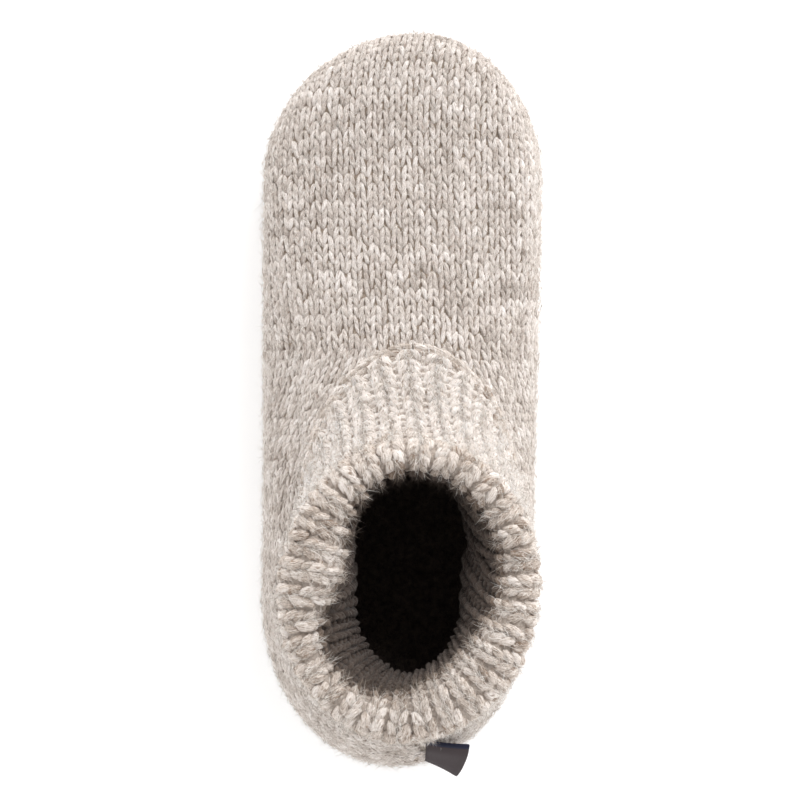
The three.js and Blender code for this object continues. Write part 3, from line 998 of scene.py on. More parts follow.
@dataclass(kw_only=True)
class StitchShape(YarnShape):
    """The legs of a knit stitch: two plump yarns that meet at its point."""

    length_share: float
    spread_open: float
    spread_point: float
    jitter: float = 0.12
    tone_change: float = 0.13
    fluff: float = 0.1
    around: int = 6
    along: int = 5

    def lay(self, pieces: SmallPieces, run: StitchRun, random: Random, lift: float = 0.0) -> None:
        """Lays both legs of every stitch of a run.

        Args:
            pieces: Where the legs are gathered.
            run: The line and the stitches' places on it. A stitch points to the line's start.
            random: The source of the small unevenness of knitting.
            lift: How far the legs' middles are off the line.
        """
        count = len(run.centres)
        if count == 0:
            return
        across_yarn, off_yarn, along_yarn = pieces.grain.points.T
        share = (along_yarn + 1) / 2
        centre = mix(self.spread_open, self.spread_point, share)
        bow = self.arch * (1 - (2 * share - 1) ** 2) - self.arch
        pitch = run.pitches[:, None]
        for side in (-1.0, 1.0):
            swell, slip, sway, rise = random.normal(0, self.jitter, (count, 4)).T[..., None]
            size = (1 + swell) * run.sizes[:, None]
            along = run.centres[:, None] + (0.5 - share) * self.length_share * pitch
            along = along + slip * pitch
            across = side * (centre + across_yarn * self.half_width * size)
            across = across + sway * self.half_width
            # The first leg is mirrored in its height too, so its faces still point outwards.
            height = lift + bow + side * off_yarn * self.half_height * size
            if side > 0:
                height = height + rise * self.half_height
            fluff = random.normal(0, self.fluff * self.half_width, (3, *along.shape))
            points = run.line.place(along + fluff[0], across + fluff[1], height + fluff[2])
            yarn = pieces.yarn_places(count, random)
            tone = np.clip(run.tones + random.normal(0, self.tone_change, count), 0, 1)
            pieces.add(points, yarn, tone, run.shades)


@dataclass(kw_only=True)
class PurlShape(YarnShape):
    """A purl bump: one plump yarn across the groove between two ribs."""

    half_width: float = 1.25 * MM
    half_height: float = 1.1 * MM
    half_length: float = 3 * MM
    arch: float = 0.9 * MM
    jitter: float = 0.06
    around: int = 5
    along: int = 4
    sunk_on_wall: float = 1.8 * MM
    sunk_on_rim: float = 2.8 * MM
    wall_size: float = 0.87
    size_range: float = 0.2
    groove_shade_shift: float = -0.04

    def lay(self, pieces: SmallPieces, run: StitchRun, random: Random) -> None:
        """Lays a bump across the groove at every stitch of a run.

        Args:
            pieces: Where the bumps are gathered.
            run: The groove's line, at the height of the ribs' crests, and its stitches.
            random: The source of unevenness.
        """
        across_yarn, off_yarn, along_yarn = pieces.grain.points.T
        count = len(run.centres)
        pitch = run.pitches[:, None]
        growth = np.clip(run.sizes - self.wall_size, 0, self.size_range) / self.size_range
        sunk = mix(self.sunk_on_wall, self.sunk_on_rim, growth)[:, None]
        slip, stretch, _ = random.normal(0, self.jitter, (count, 3)).T[..., None]
        along = run.centres[:, None] + across_yarn * self.half_width * run.sizes[:, None]
        along = along + (slip + 0.5) * pitch
        across = along_yarn * self.half_length * (1 + stretch)
        height = -sunk - self.arch * along_yarn**2 - off_yarn * self.half_height
        points = run.line.place(along, across, height)
        yarn = pieces.yarn_places(count, random)
        # Painted shade: the bumps are a little darker than the ribs' yarn, for the shadow in the
        # grooves.
        pieces.add(points, yarn, np.clip(run.tones + self.groove_shade_shift, 0, 1), run.shades)


@dataclass
class WaleChart:
    """Lays out the foot's columns of stitches, straight over the toe and round to the heel.

    Sections fan over the toe about a crosswise line near the sole, cross the foot squarely in
    the middle, and fan round the heel about an upright line. Columns keep an even distance
    from the middle over the toe, and from the sole along the sides.
    """

    form: FootForm
    tones: Array
    wale_pitch: float = 4.2 * MM
    course_pitch: float = 3.25 * MM
    pitch_range: tuple[float, float] = (0.6, 1.5)  # in courses
    toe_pivot: float = 0.52  # share of half the foot's length
    toe_drop: float = 12 * MM
    toe_radius: float = 45 * MM
    heel_pivot: float = -0.54
    heel_radius: float = 45 * MM
    heel_overlap: float = 0.32  # radians past the heel's middle
    first_section: float = 0.5 * MM
    section_step: float = 1 * MM
    section_samples: int = 60
    shortest_column: int = 6  # in sections
    bend_with_seam: float = 0.6  # share of the seam's drop that the columns follow
    bend_length: float = 55 * MM
    bend_skip: int = 40  # sections behind the collar's front before the usual height
    own_share: float = 0.3  # how much a column counts its own courses on the sides
    start_gap: float = 0.15  # in courses
    end_gap: float = 0.05
    back_seam: float = 7.54 * MM
    back_margin: float = 1.5 * MM
    sole_margin: float = 0.6 * MM

    def label(self, row: Array, reach: Array, side: Side) -> Array:
        """Says on which section points lie, counted from the toe towards the heel.

        Args:
            row: Heights in rings.
            reach: Places around the ring from the toe tip, on one side.
            side: The side of the foot.

        Returns:
            The sections' places, in metres from the toe's pivot.
        """
        form = self.form
        point = form.point(row, side.value * reach)
        lean = form.ring_values(row)[-1] * form.collar_lean
        centre = form.middle_line(point[..., 1]) + lean
        pivot_y = self.toe_pivot * form.length / 2 + form.shift[1]
        heel_y = self.heel_pivot * form.length / 2 + form.shift[1]
        ahead = point[..., 1] - pivot_y
        height = point[..., 2] - form.base_height - form.spring(point[..., 1]) + self.toe_drop
        toe = -self.toe_radius * np.arctan2(ahead, height)
        outside = -side.value * (point[..., 0] - centre)
        behind = heel_y - point[..., 1]
        heel = pivot_y - heel_y + self.heel_radius * np.arctan2(behind, outside)
        return np.where(ahead > 0, toe, np.where(behind > 0, heel, -ahead))

    def reach_at(self, label: Array, row: Array, side: Side) -> Array:
        """Finds where rings cross sections, by halving the range 30 times."""
        past_heel = 3.5
        low = np.zeros(np.broadcast(label, row).shape)
        high = np.full_like(low, past_heel)
        for _ in range(30):
            middle = (low + high) / 2
            is_before = self.label(row, middle, side) < label
            low = np.where(is_before, middle, low)
            high = np.where(is_before, high, middle)
        return (low + high) / 2

    def runs(self, side: Side) -> list[tuple[StitchRun, Array]]:
        """Lays out the stitches of one side.

        Returns:
            Each run of stitches, with the section on which each stitch lies.
        """
        form = self.form
        off_toe_tip = 1e-4
        rounding = 1e-9
        ring_rows = np.linspace(0, LAST_RING, 181)
        fronts = self.label(ring_rows, np.full_like(ring_rows, off_toe_tip), side)
        fronts = np.maximum.accumulate(fronts)
        pivot_y = self.toe_pivot * form.length / 2
        heel_y = self.heel_pivot * form.length / 2
        last = pivot_y - heel_y + self.heel_radius * (np.pi / 2 + self.heel_overlap)
        labels = np.arange(fronts[0] + self.first_section, last, self.section_step)
        top = np.interp(labels, fronts, ring_rows)
        share = np.linspace(0, 1, self.section_samples + 1)
        rows = top[:, None] * (1 - (1 - share) ** 2)
        reach = self.reach_at(np.broadcast_to(labels[:, None], rows.shape), rows, side)
        reach[:, -1] = np.where(labels < fronts[-1], 0.0, reach[:, -1])
        points = form.point(rows, side.value * reach)
        steps = np.linalg.norm(np.diff(points, axis=1), axis=2)
        up = np.concatenate((np.zeros((len(labels), 1)), np.cumsum(steps, axis=1)), axis=1)
        height = up[:, -1]
        # Behind the collar's front, columns bend down with the seam by a part of its drop.
        is_behind = labels >= fronts[-1]
        apex = int(np.argmax(is_behind))
        level = height.copy()
        usual = height[apex + self.bend_skip :].mean()
        drop = self.bend_with_seam * (height[apex - 1] - usual)
        behind = smooth((labels[apex:] - labels[apex]) / self.bend_length)
        level[apex:] = height[apex - 1] - drop * behind
        count = int(level.max() / self.wale_pitch) + 1
        wales = np.arange(0 if side is Side.LEFT else 1, count)
        wanted = level - wales[:, None] * self.wale_pitch
        wanted = np.where(~is_behind, np.minimum(wanted, height), wanted)
        is_knit = (wanted >= self.sole_margin) & (wanted <= height + rounding)
        wale_rows = np.empty_like(wanted)
        wale_reach = np.empty_like(wanted)
        for number in range(len(labels)):
            wale_rows[:, number] = np.interp(wanted[:, number], up[number], rows[number])
            wale_reach[:, number] = np.interp(wanted[:, number], up[number], reach[number])
        turns = side.value * wale_reach
        surface = form.point(wale_rows, turns)
        normals = form.normal(wale_rows, turns)
        tones = self.tones[:, self.tones.shape[1] // 2 + wales * int(side.value)]
        return self.split_runs(surface, normals, labels, is_knit, tones.T, side)

    def split_runs(
        self,
        surface: Array,
        normals: Array,
        labels: Array,
        is_knit: Array,
        tones: Array,
        side: Side,
    ) -> list[tuple[StitchRun, Array]]:
        """Cuts each column where it meets the sole or the collar, and spaces its stitches.

        Args:
            surface: Points as (columns, sections, 3).
            normals: The surface's normals there.
            labels: The sections' places.
            is_knit: Where each column is on the foot.
            tones: The yarn's tone in each column, by course.
            side: The side of the foot.

        Returns:
            Each run of stitches, with the section on which each stitch lies.
        """
        common = arc_lengths(surface[len(surface) // 2])
        common -= np.interp(0.0, labels, common)
        seam_x = self.back_seam + self.form.shift[0]
        heel_y = self.heel_pivot * self.form.length / 2
        shortest, longest = (share * self.course_pitch for share in self.pitch_range)
        runs = []
        for points, square, knit, tone in zip(surface, normals, is_knit, tones):
            padded = np.concatenate(([False], knit, [False]))
            edges = np.flatnonzero(np.diff(padded.astype(int)))
            for start, stop in zip(edges[::2], edges[1::2]):
                if stop - start < self.shortest_column:
                    continue
                line = YarnLine.over(points[start:stop], square[start:stop])
                own = line.passed.copy()
                part = labels[start:stop]
                if part[0] < 0 < part[-1]:
                    own -= np.interp(0.0, part, own)
                elif part[0] >= 0:
                    own += common[start]
                else:
                    own += part[-1] - own[-1]
                shared = self.own_share * own + (1 - self.own_share) * common[start:stop]
                course = np.maximum.accumulate(np.where(part > 0, shared, own))
                numbers = np.arange(
                    math.ceil(course[0] / self.course_pitch + self.start_gap),
                    math.floor(course[-1] / self.course_pitch - self.end_gap) + 1,
                )
                middles = numbers * self.course_pitch
                half = self.course_pitch / 2
                centres = np.interp(middles, course, line.passed)
                after = np.interp(middles + half, course, line.passed)
                before = np.interp(middles - half, course, line.passed)
                pitches = np.clip(after - before, shortest, longest)
                place = line.place(centres, np.zeros_like(centres), np.zeros_like(centres))
                beyond = -side.value * (place[:, 0] - seam_x)
                keep = (beyond > self.back_margin) | (place[:, 1] > heel_y)
                section = np.interp(centres, line.passed, part)
                run = StitchRun.even(line, centres, pitches, tone[numbers % len(tone)])
                runs.append((run.only(keep), section[keep]))
        return runs


@dataclass
class KnitFoot:
    """The knit foot: its ground cloth, its stitches and the pile lining inside."""

    form: FootForm
    ground_depth: float = 1.05 * MM
    ground_back: float = 2.6 * MM
    lining_front: float = 2.7 * MM
    lining_back: float = 4.0 * MM
    stitch_depth: float = 0.75 * MM
    vamp_length: float = 62 * MM
    rows_up: int = 34
    places_around: int = 132

    def shell(self, name: str, outer: float, inner: float) -> bpy.types.Object:
        """Makes a closed wall between two depths under the knit's outside."""
        rows = np.linspace(0, LAST_RING, self.rows_up)
        turns = np.linspace(0, FULL_TURN, self.places_around, endpoint=False)
        grid_rows, grid_turns = np.meshgrid(rows, turns, indexing="ij")
        face = self.form.point(grid_rows, grid_turns)
        normal = self.form.normal(grid_rows, grid_turns)
        normal[..., 2] *= np.minimum(1.0, grid_rows)
        normal = unit(normal)
        outside = face - normal * outer
        inside = (face - normal * inner)[::-1]
        return lofted_object(name, np.concatenate((outside, inside)), closes_along=True)

    def build(self, yarn: bpy.types.Material, random: Random) -> list[StitchRun]:
        """Builds the foot's pieces.

        Args:
            yarn: The yarn's material.
            random: The source of unevenness.

        Returns:
            All runs of stitches, on which loose fibres may stand.
        """
        # Painted shade: the cloth under the stitches is darker than the yarn, to stand for the
        # shadow in the gaps between the legs.
        ground = PilePlush("knit ground cloth in painted gap shade", "#7e7063", "#a69788", 1.2 * MM).material()
        lining = PilePlush("brown pile lining", "#453b36", "#86756b").material()
        cloth = self.shell("knit_ground", self.ground_depth, self.ground_back)
        finish_piece(cloth, ground, "knit_upper")
        finish_piece(
            self.shell("pile_lining", self.lining_front, self.lining_back), lining
        )
        shape = StitchShape(
            half_width=0.98 * MM,
            half_height=0.85 * MM,
            length_share=1.68,
            spread_open=1.74 * MM,
            spread_point=0.38 * MM,
            arch=0.6 * MM,
            tone_change=0.11,
            jitter=0.13,
        )
        chart = WaleChart(self.form, marl(random, courses=110, columns=90, run_length=4))
        grain = shape.grain()
        laid = {name: SmallPieces(grain) for name in ("vamp", "left", "right")}
        runs = []
        for side in Side:
            rear = side.name.lower()
            for run, sections in chart.runs(side):
                is_vamp = sections < self.vamp_length
                for name, keep in (("vamp", is_vamp), (rear, ~is_vamp)):
                    shape.lay(laid[name], run.only(keep), random, -self.stitch_depth)
                runs.append(run)
        for name, pieces in laid.items():
            finish_piece(pieces.mesh_object(f"{name}_stitches"), yarn)
        return runs


@dataclass
class RibbedCollar:
    """The 1x1 ribbed collar: its ground cloth, knit ribs and purl bumps in the grooves."""

    form: CollarForm
    rib_pitch: float = 8.7 * MM
    wall_stitch: float = 3.5 * MM
    rim_stitch: float = 5.0 * MM
    usual_stitch: float = 4.4 * MM
    first_stitch: float = 0.4  # in stitches
    stretch_length: float = 16 * MM
    stretch_lead: int = 8  # steps on the line before the rim's top
    fattening: float = 0.6  # power with which longer stitches get fatter
    painted_wall_light: float = 0.6
    slim_size: float = 0.85
    size_range: float = 0.15
    stitch_depth: float = 1.0 * MM
    ground_swell: float = 0.25  # times 0 to 2, so the cloth rises to half the ribs' depth
    sunk_at_seam: float = 0.8 * MM
    sunk_at_rim: float = 0.15 * MM
    sunk_climb: float = 0.3  # how far up the wall the cloth rises to its place
    shade_start: float = 1.8  # a station, as the lengths below
    shade_length: float = 0.35
    deep_length: float = 0.5
    front_lead: float = 0.15
    front_share: float = 0.17  # of the collar's length, to each side of its front
    lip_shade: float = 0.93
    places_per_rib: int = 6
    chain_pitch: float = 4.2 * MM
    chain_lean: float = 0.3
    chain_climbs: tuple[float, ...] = (-0.4 * MM, 1.5 * MM, 3.2 * MM)
    chain_depths: tuple[float, ...] = (0.6 * MM, 0.9 * MM, 1.6 * MM)

    def ground(self) -> bpy.types.Object:
        """Makes the cloth under the ribs, rounded over the rim."""
        count = self.form.rib_count * self.places_per_rib
        stations, shares = np.meshgrid(
            self.stations(18, 14), np.arange(count) / count, indexing="ij"
        )
        climb = climb_at(stations)
        wave = np.cos(2 * np.pi * (shares * self.form.rib_count - self.form.rib_phase))
        sunk = mix(self.sunk_at_seam, self.sunk_at_rim, smooth(climb / self.sunk_climb))
        proud = self.form.swell(climb) * self.ground_swell * (1 - wave) - sunk
        points, _ = self.form.surface(shares, stations, proud)
        # Painted shade down the throat, by station.
        shade = np.repeat(self.shade(stations, shares)[..., None], 3, axis=2)
        return lofted_object("rib_ground", points, closes_along=True, attributes={"shade": shade})

    def share_of(self, rib: float) -> float:
        """Returns the place around the collar of a rib, or of a groove with its half number."""
        return (rib + 0.5 + self.form.rib_phase) / self.form.rib_count

    def line(self, share: float) -> YarnLine:
        """Traces a line over the collar, from the seam over the rim to the inside.

        Args:
            share: The place around the collar of a rib or of a groove.

        Returns:
            The line, at the height of the ribs' crests.
        """
        half = 0.5 / self.form.rib_count
        stations = self.stations()
        proud = self.form.swell(climb_at(stations))
        points, normals = self.form.surface(np.full_like(stations, share), stations, proud)
        before, _ = self.form.surface(np.full_like(stations, share - half), stations, proud)
        after, _ = self.form.surface(np.full_like(stations, share + half), stations, proud)
        widths = np.linalg.norm(after - before, axis=1) / self.rib_pitch
        return YarnLine.over(points, normals, widths)

    def run(self, rib: float, tones: Array) -> StitchRun:
        """Spaces stitches along a rib, longer and fatter where the rim stretches them."""
        share = self.share_of(rib)
        line = self.line(share)
        stretched_most = line.passed[len(line.passed) // 2 - self.stretch_lead]
        from_rim = (line.passed - stretched_most) / self.stretch_length
        lengths = mix(self.wall_stitch, self.rim_stitch, np.exp(-(from_rim**2)))
        counted = np.concatenate(([0.0], np.cumsum(np.diff(line.passed) / lengths[1:])))
        numbers = np.arange(int(counted[-1]))
        centres = np.interp(numbers + self.first_stitch, counted, line.passed)
        pitches = np.interp(centres, line.passed, lengths)
        sizes = (pitches / self.usual_stitch) ** self.fattening
        fatness = smooth((sizes - self.slim_size) / self.size_range)
        # Painted light: the wall's slim stitches get lighter tones than the rim's fat ones, to
        # stand for the brighter haze of light on the brushed wall.
        painted_light = self.painted_wall_light * (1 - fatness)
        shades = self.shade(np.interp(centres, line.passed, self.stations()), share)
        return StitchRun(line, centres, pitches, tones[numbers] + painted_light, sizes, shades)

    @staticmethod
    def stations(on_wall: int = 60, on_rim: int = 40) -> Array:
        """Returns stations from the seam up the wall, over the rim and down the inside."""
        over_rim = np.linspace(1, 2, on_rim)[1:-1]
        return np.concatenate((np.linspace(0, 1, on_wall), over_rim, np.linspace(2, 3, on_wall)))

    def shade(self, stations: Array, share: Array | float) -> Array:
        """Says how much painted shade the wool takes, from the rim's inner edge into the throat.
        """
        from_front = np.abs(np.mod(np.asarray(share) + 0.5, 1.0) - 0.5)
        start = self.shade_start - self.front_lead * smooth(1 - from_front / self.front_share)
        lip = smooth((stations - start) / self.shade_length)
        depth = smooth((stations - self.shade_start - self.shade_length) / self.deep_length)
        return self.lip_shade * lip + (1 - self.lip_shade) * depth

    def build(self, random: Random) -> list[StitchRun]:
        """Builds the collar's pieces and returns its runs of stitches."""
        yarn = BrushedWool(
            name="brushed rib wool",
            shadow="#7d6b5d",
            body="#cec1b6",
            light="#f6eee8",
            fleck="#8c745f",
            strands_across=6.0,
            streaks_along=1.5,
            relief=0.7 * MM,
            sheen=0.2,
        ).material()
        # Painted shade: the cloth under the ribs is darker than the yarn, to stand for the shadow
        # in the grooves between them.
        cloth = PilePlush("rib ground cloth in painted groove shade", "#988c82", "#c2b6ac", 1.2 * MM).material()
        finish_piece(self.ground(), cloth, "rib_collar")
        leg = StitchShape(
            half_width=1.7 * MM,
            half_height=1.5 * MM,
            length_share=1.65,
            spread_open=3.0 * MM,
            spread_point=0.8 * MM,
            arch=1.1 * MM,
            tone_change=0.16,
            along=6,
            fluff=0.11,
        )
        bump = PurlShape()
        ribs = SmallPieces(leg.grain())
        purls = SmallPieces(bump.grain())
        runs = []
        tones = marl(random, courses=60, columns=self.form.rib_count, run_length=3)
        for rib in range(self.form.rib_count):
            run = self.run(rib, tones[:, rib])
            leg.lay(ribs, run, random, -self.stitch_depth)
            runs.append(run)
            bump.lay(purls, self.run(rib - 0.5, tones[:, rib]), random)
        self.lay_seam_chain(ribs, random)
        finish_piece(ribs.mesh_object("rib_stitches"), yarn)
        finish_piece(purls.mesh_object("purl_bumps"), yarn)
        return runs

    def lay_seam_chain(self, pieces: SmallPieces, random: Random) -> None:
        """Lays the small stitches that join the collar to the foot, in three close rows."""
        chain = StitchShape(
            half_width=1.25 * MM,
            half_height=1.0 * MM,
            length_share=1.5,
            spread_open=1.4 * MM,
            spread_point=0.4 * MM,
            arch=0.4 * MM,
        )
        edge, outward, up = self.form.seam(np.linspace(0, 1, 601)[:-1])
        square = unit(outward + up * self.chain_lean)
        for climb, depth in zip(self.chain_climbs, self.chain_depths):
            line = YarnLine.over(edge - outward * depth + up * climb, square)
            count = int(line.passed[-1] / self.chain_pitch)
            pitch = line.passed[-1] / count
            centres = (np.arange(count) + 0.5) * pitch
            tones = np.clip(random.normal(0.55, 0.12, count), 0, 1)
            run = StitchRun.even(line, centres, np.full(count, pitch), tones)
            chain.lay(pieces, run, random)


@dataclass
class StrayFibres:
    """Fine wool hairs that lie over the yarn, stand off it and soften its outline."""

    name: str
    slot: str
    count: int
    length: float
    thickness: float
    outer_share: float = 1.0
    lowest: float = 0.0
    spread: float = 1.6 * MM
    scatter: float = 1.5 * MM
    wool: LooseHair = LooseHair()
    rim_size: float = 0.95
    wall_weight: float = 0.9
    root_depth: float = -0.4 * MM
    root_height: float = 0.6 * MM
    sway: float = 0.55  # sideways, as a share of the way along the yarn
    rises: tuple[float, float] = (-0.05, 0.7)
    bend_up: float = 0.3
    bends: tuple[float, float] = (0.2, 0.8)  # as shares of a hair's length
    length_shares: tuple[float, float] = (0.4, 1.4)

    def build(self, runs: list[StitchRun], random: Random) -> bpy.types.Object:
        """Scatters hairs over the runs of stitches.

        Args:
            runs: The stitches on which they lie.
            random: The source of their places and bends.

        Returns:
            The hairs, as one object.
        """
        pieces = SmallPieces(self.hair())
        lengths = np.array([len(run.centres) for run in runs])
        numbers = random.choice(len(runs), self.count, p=lengths / lengths.sum())
        step = 1 * MM
        for number in np.unique(numbers):
            run = runs[number]
            count = int((numbers == number).sum())
            outer = max(1, round(len(run.centres) * self.outer_share))
            weights = np.where(run.sizes[:outer] > self.rim_size, 1.0, self.wall_weight)
            chosen = random.choice(outer, count, p=weights / weights.sum())
            along = run.centres[chosen] + random.normal(0, self.scatter, count)
            across = random.normal(0, self.spread, count)
            depth = random.uniform(self.root_depth, self.root_height, count)
            root = run.line.place(along, across, depth)
            above = run.line.place(along, across, depth + step)
            ahead = run.line.place(along + step, across, depth)
            high = root[:, 2] > self.lowest
            frame = root[high], above[high], ahead[high]
            self.grow(pieces, frame, run.shades[chosen[high]], random)
        return finish_piece(pieces.mesh_object(self.name), self.wool.material())

    @staticmethod
    def hair() -> Grain:
        """Makes a hair's faces: a slim spike with one joint along it."""
        shape = bmesh.new()
        bmesh.ops.create_cone(
            shape, cap_ends=True, segments=3, radius1=1.0, radius2=0.0, depth=1.0
        )
        bmesh.ops.remove_doubles(shape, verts=shape.verts, dist=1e-6)
        long_edges = [e for e in shape.edges if abs(e.verts[0].co.z - e.verts[1].co.z) > 0.5]
        bmesh.ops.subdivide_edges(shape, edges=long_edges, cuts=1)
        bmesh.ops.recalc_face_normals(shape, faces=shape.faces)
        return Grain.from_bmesh(shape)

    def grow(
        self, pieces: SmallPieces, frame: tuple[Array, ...], shades: Array, random: Random
    ) -> None:
        """Adds hairs that mostly follow the yarn.

        Args:
            pieces: Where the hairs are gathered.
            frame: Their roots, points off the surface and points ahead along the yarn.
            shades: How much painted throat shade they take.
            random: The source of their bends.
        """
        grain = pieces.grain.points
        share = grain[:, 2] + 0.5
        root, above, ahead = frame
        count = len(root)
        normal = unit(above - root)
        tangent = unit(ahead - root)
        sideways = np.cross(normal, tangent)
        way = random.choice((-1.0, 1.0), (count, 1))
        direction = unit(
            tangent * way
            + sideways * random.normal(0, self.sway, (count, 1))
            + normal * random.uniform(*self.rises, (count, 1))
        )
        bend = unit(random.normal(0, 1, (count, 3)) + normal * self.bend_up)
        bend = bend * random.uniform(*self.bends, (count, 1))
        reach = self.length * random.uniform(*self.length_shares, (count, 1, 1))
        spine = root[:, None, :] + reach * (
            direction[:, None, :] * share[None, :, None]
            + bend[:, None, :] * share[None, :, None] ** 2
        )
        side = unit(np.cross(direction, bend))
        other = unit(np.cross(direction, side))
        # The spike narrows to a point, so its middle is kept as thick as its root.
        thick = self.thickness / 2 / np.maximum(1 - share, 0.5)[None, :, None]
        points = (
            spine
            + side[:, None, :] * grain[None, :, 0:1] * thick
            + other[:, None, :] * grain[None, :, 1:2] * thick
        )
        pieces.add(points, np.zeros(points.shape), random.random(count), shades)


@dataclass
class SoftSole:
    """The soft sole with its gripping dots, and the plush insole on it."""

    form: FootForm
    thickness: float = 6 * MM
    edge_bottom: float = 2.6 * MM
    edge_top: float = 1.2 * MM
    upper_wall: float = 4 * MM
    seam_gap: float = 0.3 * MM
    insole_thickness: float = 4 * MM
    insole_edge: float = 1.2 * MM
    dot_pitch: float = 9 * MM
    dot_radius: float = 2.4 * MM
    dot_height: float = 0.7 * MM
    dot_margin: float = 2 * MM
    edge_steps: int = 5
    places_around: int = 168

    def outline(self, margin: float) -> Array:
        """Returns the sole's outline drawn in by a margin, as flat points."""
        turns = np.linspace(0, FULL_TURN, self.places_around, endpoint=False)
        ring = self.form.point(np.zeros_like(turns), turns)
        around = np.roll(ring, -1, axis=0) - np.roll(ring, 1, axis=0)
        outward = unit(np.stack((around[:, 1], -around[:, 0], np.zeros(len(turns))), axis=-1))
        return ring - outward * margin

    def pad(
        self, name: str, margin: float, low: float, high: float, edges: tuple[float, float]
    ) -> bpy.types.Object:
        """Makes a pad with rounded edges that curls up at the toe.

        Args:
            name: The object's name.
            margin: How far its outline is drawn in from the sole's.
            low: Height of its underside at the heel.
            high: Height of its top at the heel.
            edges: Radii of its lower and upper edge.

        Returns:
            The object.
        """
        rings = []
        angles = np.linspace(0, np.pi / 2, self.edge_steps)
        for radius, is_top in zip(edges, (False, True)):
            for angle in angles if is_top else angles[::-1]:
                ring = self.outline(margin + radius * (1 - math.cos(angle)))
                drop = radius * (1 - math.sin(angle))
                y = ring[:, 1]
                arch = 0.0 if is_top or low > self.thickness / 2 else self.form.arch(y)
                base = high - drop if is_top else low + drop
                ring[:, 2] = base + self.form.spring(y) + arch
                rings.append(ring)
        return lofted_object(name, np.array(rings), closes_along=False)

    def build(self) -> None:
        """Builds the sole, its dots and the insole."""
        cloth = PilePlush("charcoal felted sole", "#2b2827", "#484340", 1.6 * MM).material()
        edges = (self.edge_bottom, self.edge_top)
        sole = self.pad("soft_sole", 0.0, self.dot_height, self.thickness, edges)
        finish_piece(sole, cloth, "sole")
        finish_piece(self.dots(), GripRubber().material())
        plush = PilePlush("brown plush insole", "#453c38", "#827268", 2.8 * MM, relief=2 * MM)
        margin = self.upper_wall + self.seam_gap
        base = self.form.base_height
        top = base + self.insole_thickness
        edges = (self.insole_edge, self.insole_edge)
        insole = self.pad("plush_insole", margin, base, top, edges)
        finish_piece(insole, plush.material(), "insole")

    def dots(self) -> bpy.types.Object:
        """Makes the rubber dots under the sole, in staggered rows."""
        pieces = SmallPieces(Grain.round_grain(8, 5))
        rim = self.outline(self.edge_bottom + self.dot_radius + self.dot_margin)[:, :2]
        low = rim.min(axis=0)
        high = rim.max(axis=0)
        row_pitch = self.dot_pitch * math.sqrt(3) / 2
        places = []
        for row, y in enumerate(np.arange(low[1], high[1], row_pitch)):
            for x in np.arange(low[0] + (row % 2) * self.dot_pitch / 2, high[0], self.dot_pitch):
                if is_inside(np.array([x, y]), rim):
                    places.append((x, y))
        flat = np.array(places)
        ground = self.dot_height + self.form.spring(flat[:, 1]) + self.form.arch(flat[:, 1])
        centres = np.concatenate((flat, ground[:, None]), axis=1)
        size = np.array([self.dot_radius, self.dot_radius, self.dot_height])
        points = centres[:, None, :] + pieces.grain.points[None, :, :] * size
        pieces.add(points, np.zeros(points.shape), np.full(len(points), 0.5))
        return pieces.mesh_object("grip_dots")


@dataclass
class FoldedLabel:
    """The label: a tape folded double and sewn in at the back seam, under the collar."""

    form: FootForm
    offset: float = 9.3 * MM
    width: float = 16 * MM
    height: float = 21 * MM
    thickness: float = 1.2 * MM
    gap: float = 0.3 * MM
    top_row: float = LAST_RING - 0.15
    rows_down: float = 5.0
    free_top: tuple[float, float, float] = (0.975, -0.11, -0.19)
    free_bottom: tuple[float, float, float] = (0.73, -0.41, -0.54)
    bow: float = 0.35 * MM
    steps_down: int = 15
    steps_across: int = 9
    steps_round: int = 7

    def seam(self, drops: Array) -> Array:
        """Finds points down the back seam, at shares of the label's height."""
        place = self.offset + self.form.shift[0]
        ankle_to_heel = -np.linspace(2.0, 3.0, 201)
        line = []
        for row in np.linspace(self.top_row, self.top_row - self.rows_down, 201):
            across = self.form.point(np.full_like(ankle_to_heel, row), ankle_to_heel)
            across = across[np.argsort(across[:, 0])]
            line.append(read_along(place, across[:, 0], across))
        points = np.array(line)
        return read_along(drops * self.height, arc_lengths(points), points)

    def build(self) -> None:
        """Builds the label, bare of any text."""
        drops = np.linspace(0, 1, self.steps_down)
        seam = self.seam(drops)
        down = unit(seam[-1] - seam[0])
        free = unit(mix(np.array(self.free_top), np.array(self.free_bottom), drops[:, None]))
        proud = unit(np.cross(free, down))
        radius = self.thickness / 2
        flat = np.linspace(0, self.width - radius, self.steps_across)
        fold = np.linspace(-np.pi / 2, np.pi / 2, self.steps_round)[1:-1]
        across = np.concatenate((flat, flat[-1] + radius * np.cos(fold), flat[::-1]))
        lift = np.concatenate(
            (np.zeros_like(flat), radius * (1 + np.sin(fold)), np.full_like(flat, self.thickness))
        )
        wave = self.bow * np.sin(np.pi * across / self.width)
        height = self.gap + lift + wave * np.cos(np.pi * drops)[:, None]
        rings = (
            seam[:, None, :]
            + free[:, None, :] * across[None, :, None]
            - proud[:, None, :] * height[..., None]
        )
        columns = (across, drops[:, None] * self.height, lift)
        tape = np.stack([np.broadcast_to(part, height.shape) for part in columns], axis=-1)
        piece = lofted_object("label_tape", rings, closes_along=False, attributes={"tape": tape})
        finish_piece(piece, WovenTape().material(), "label")


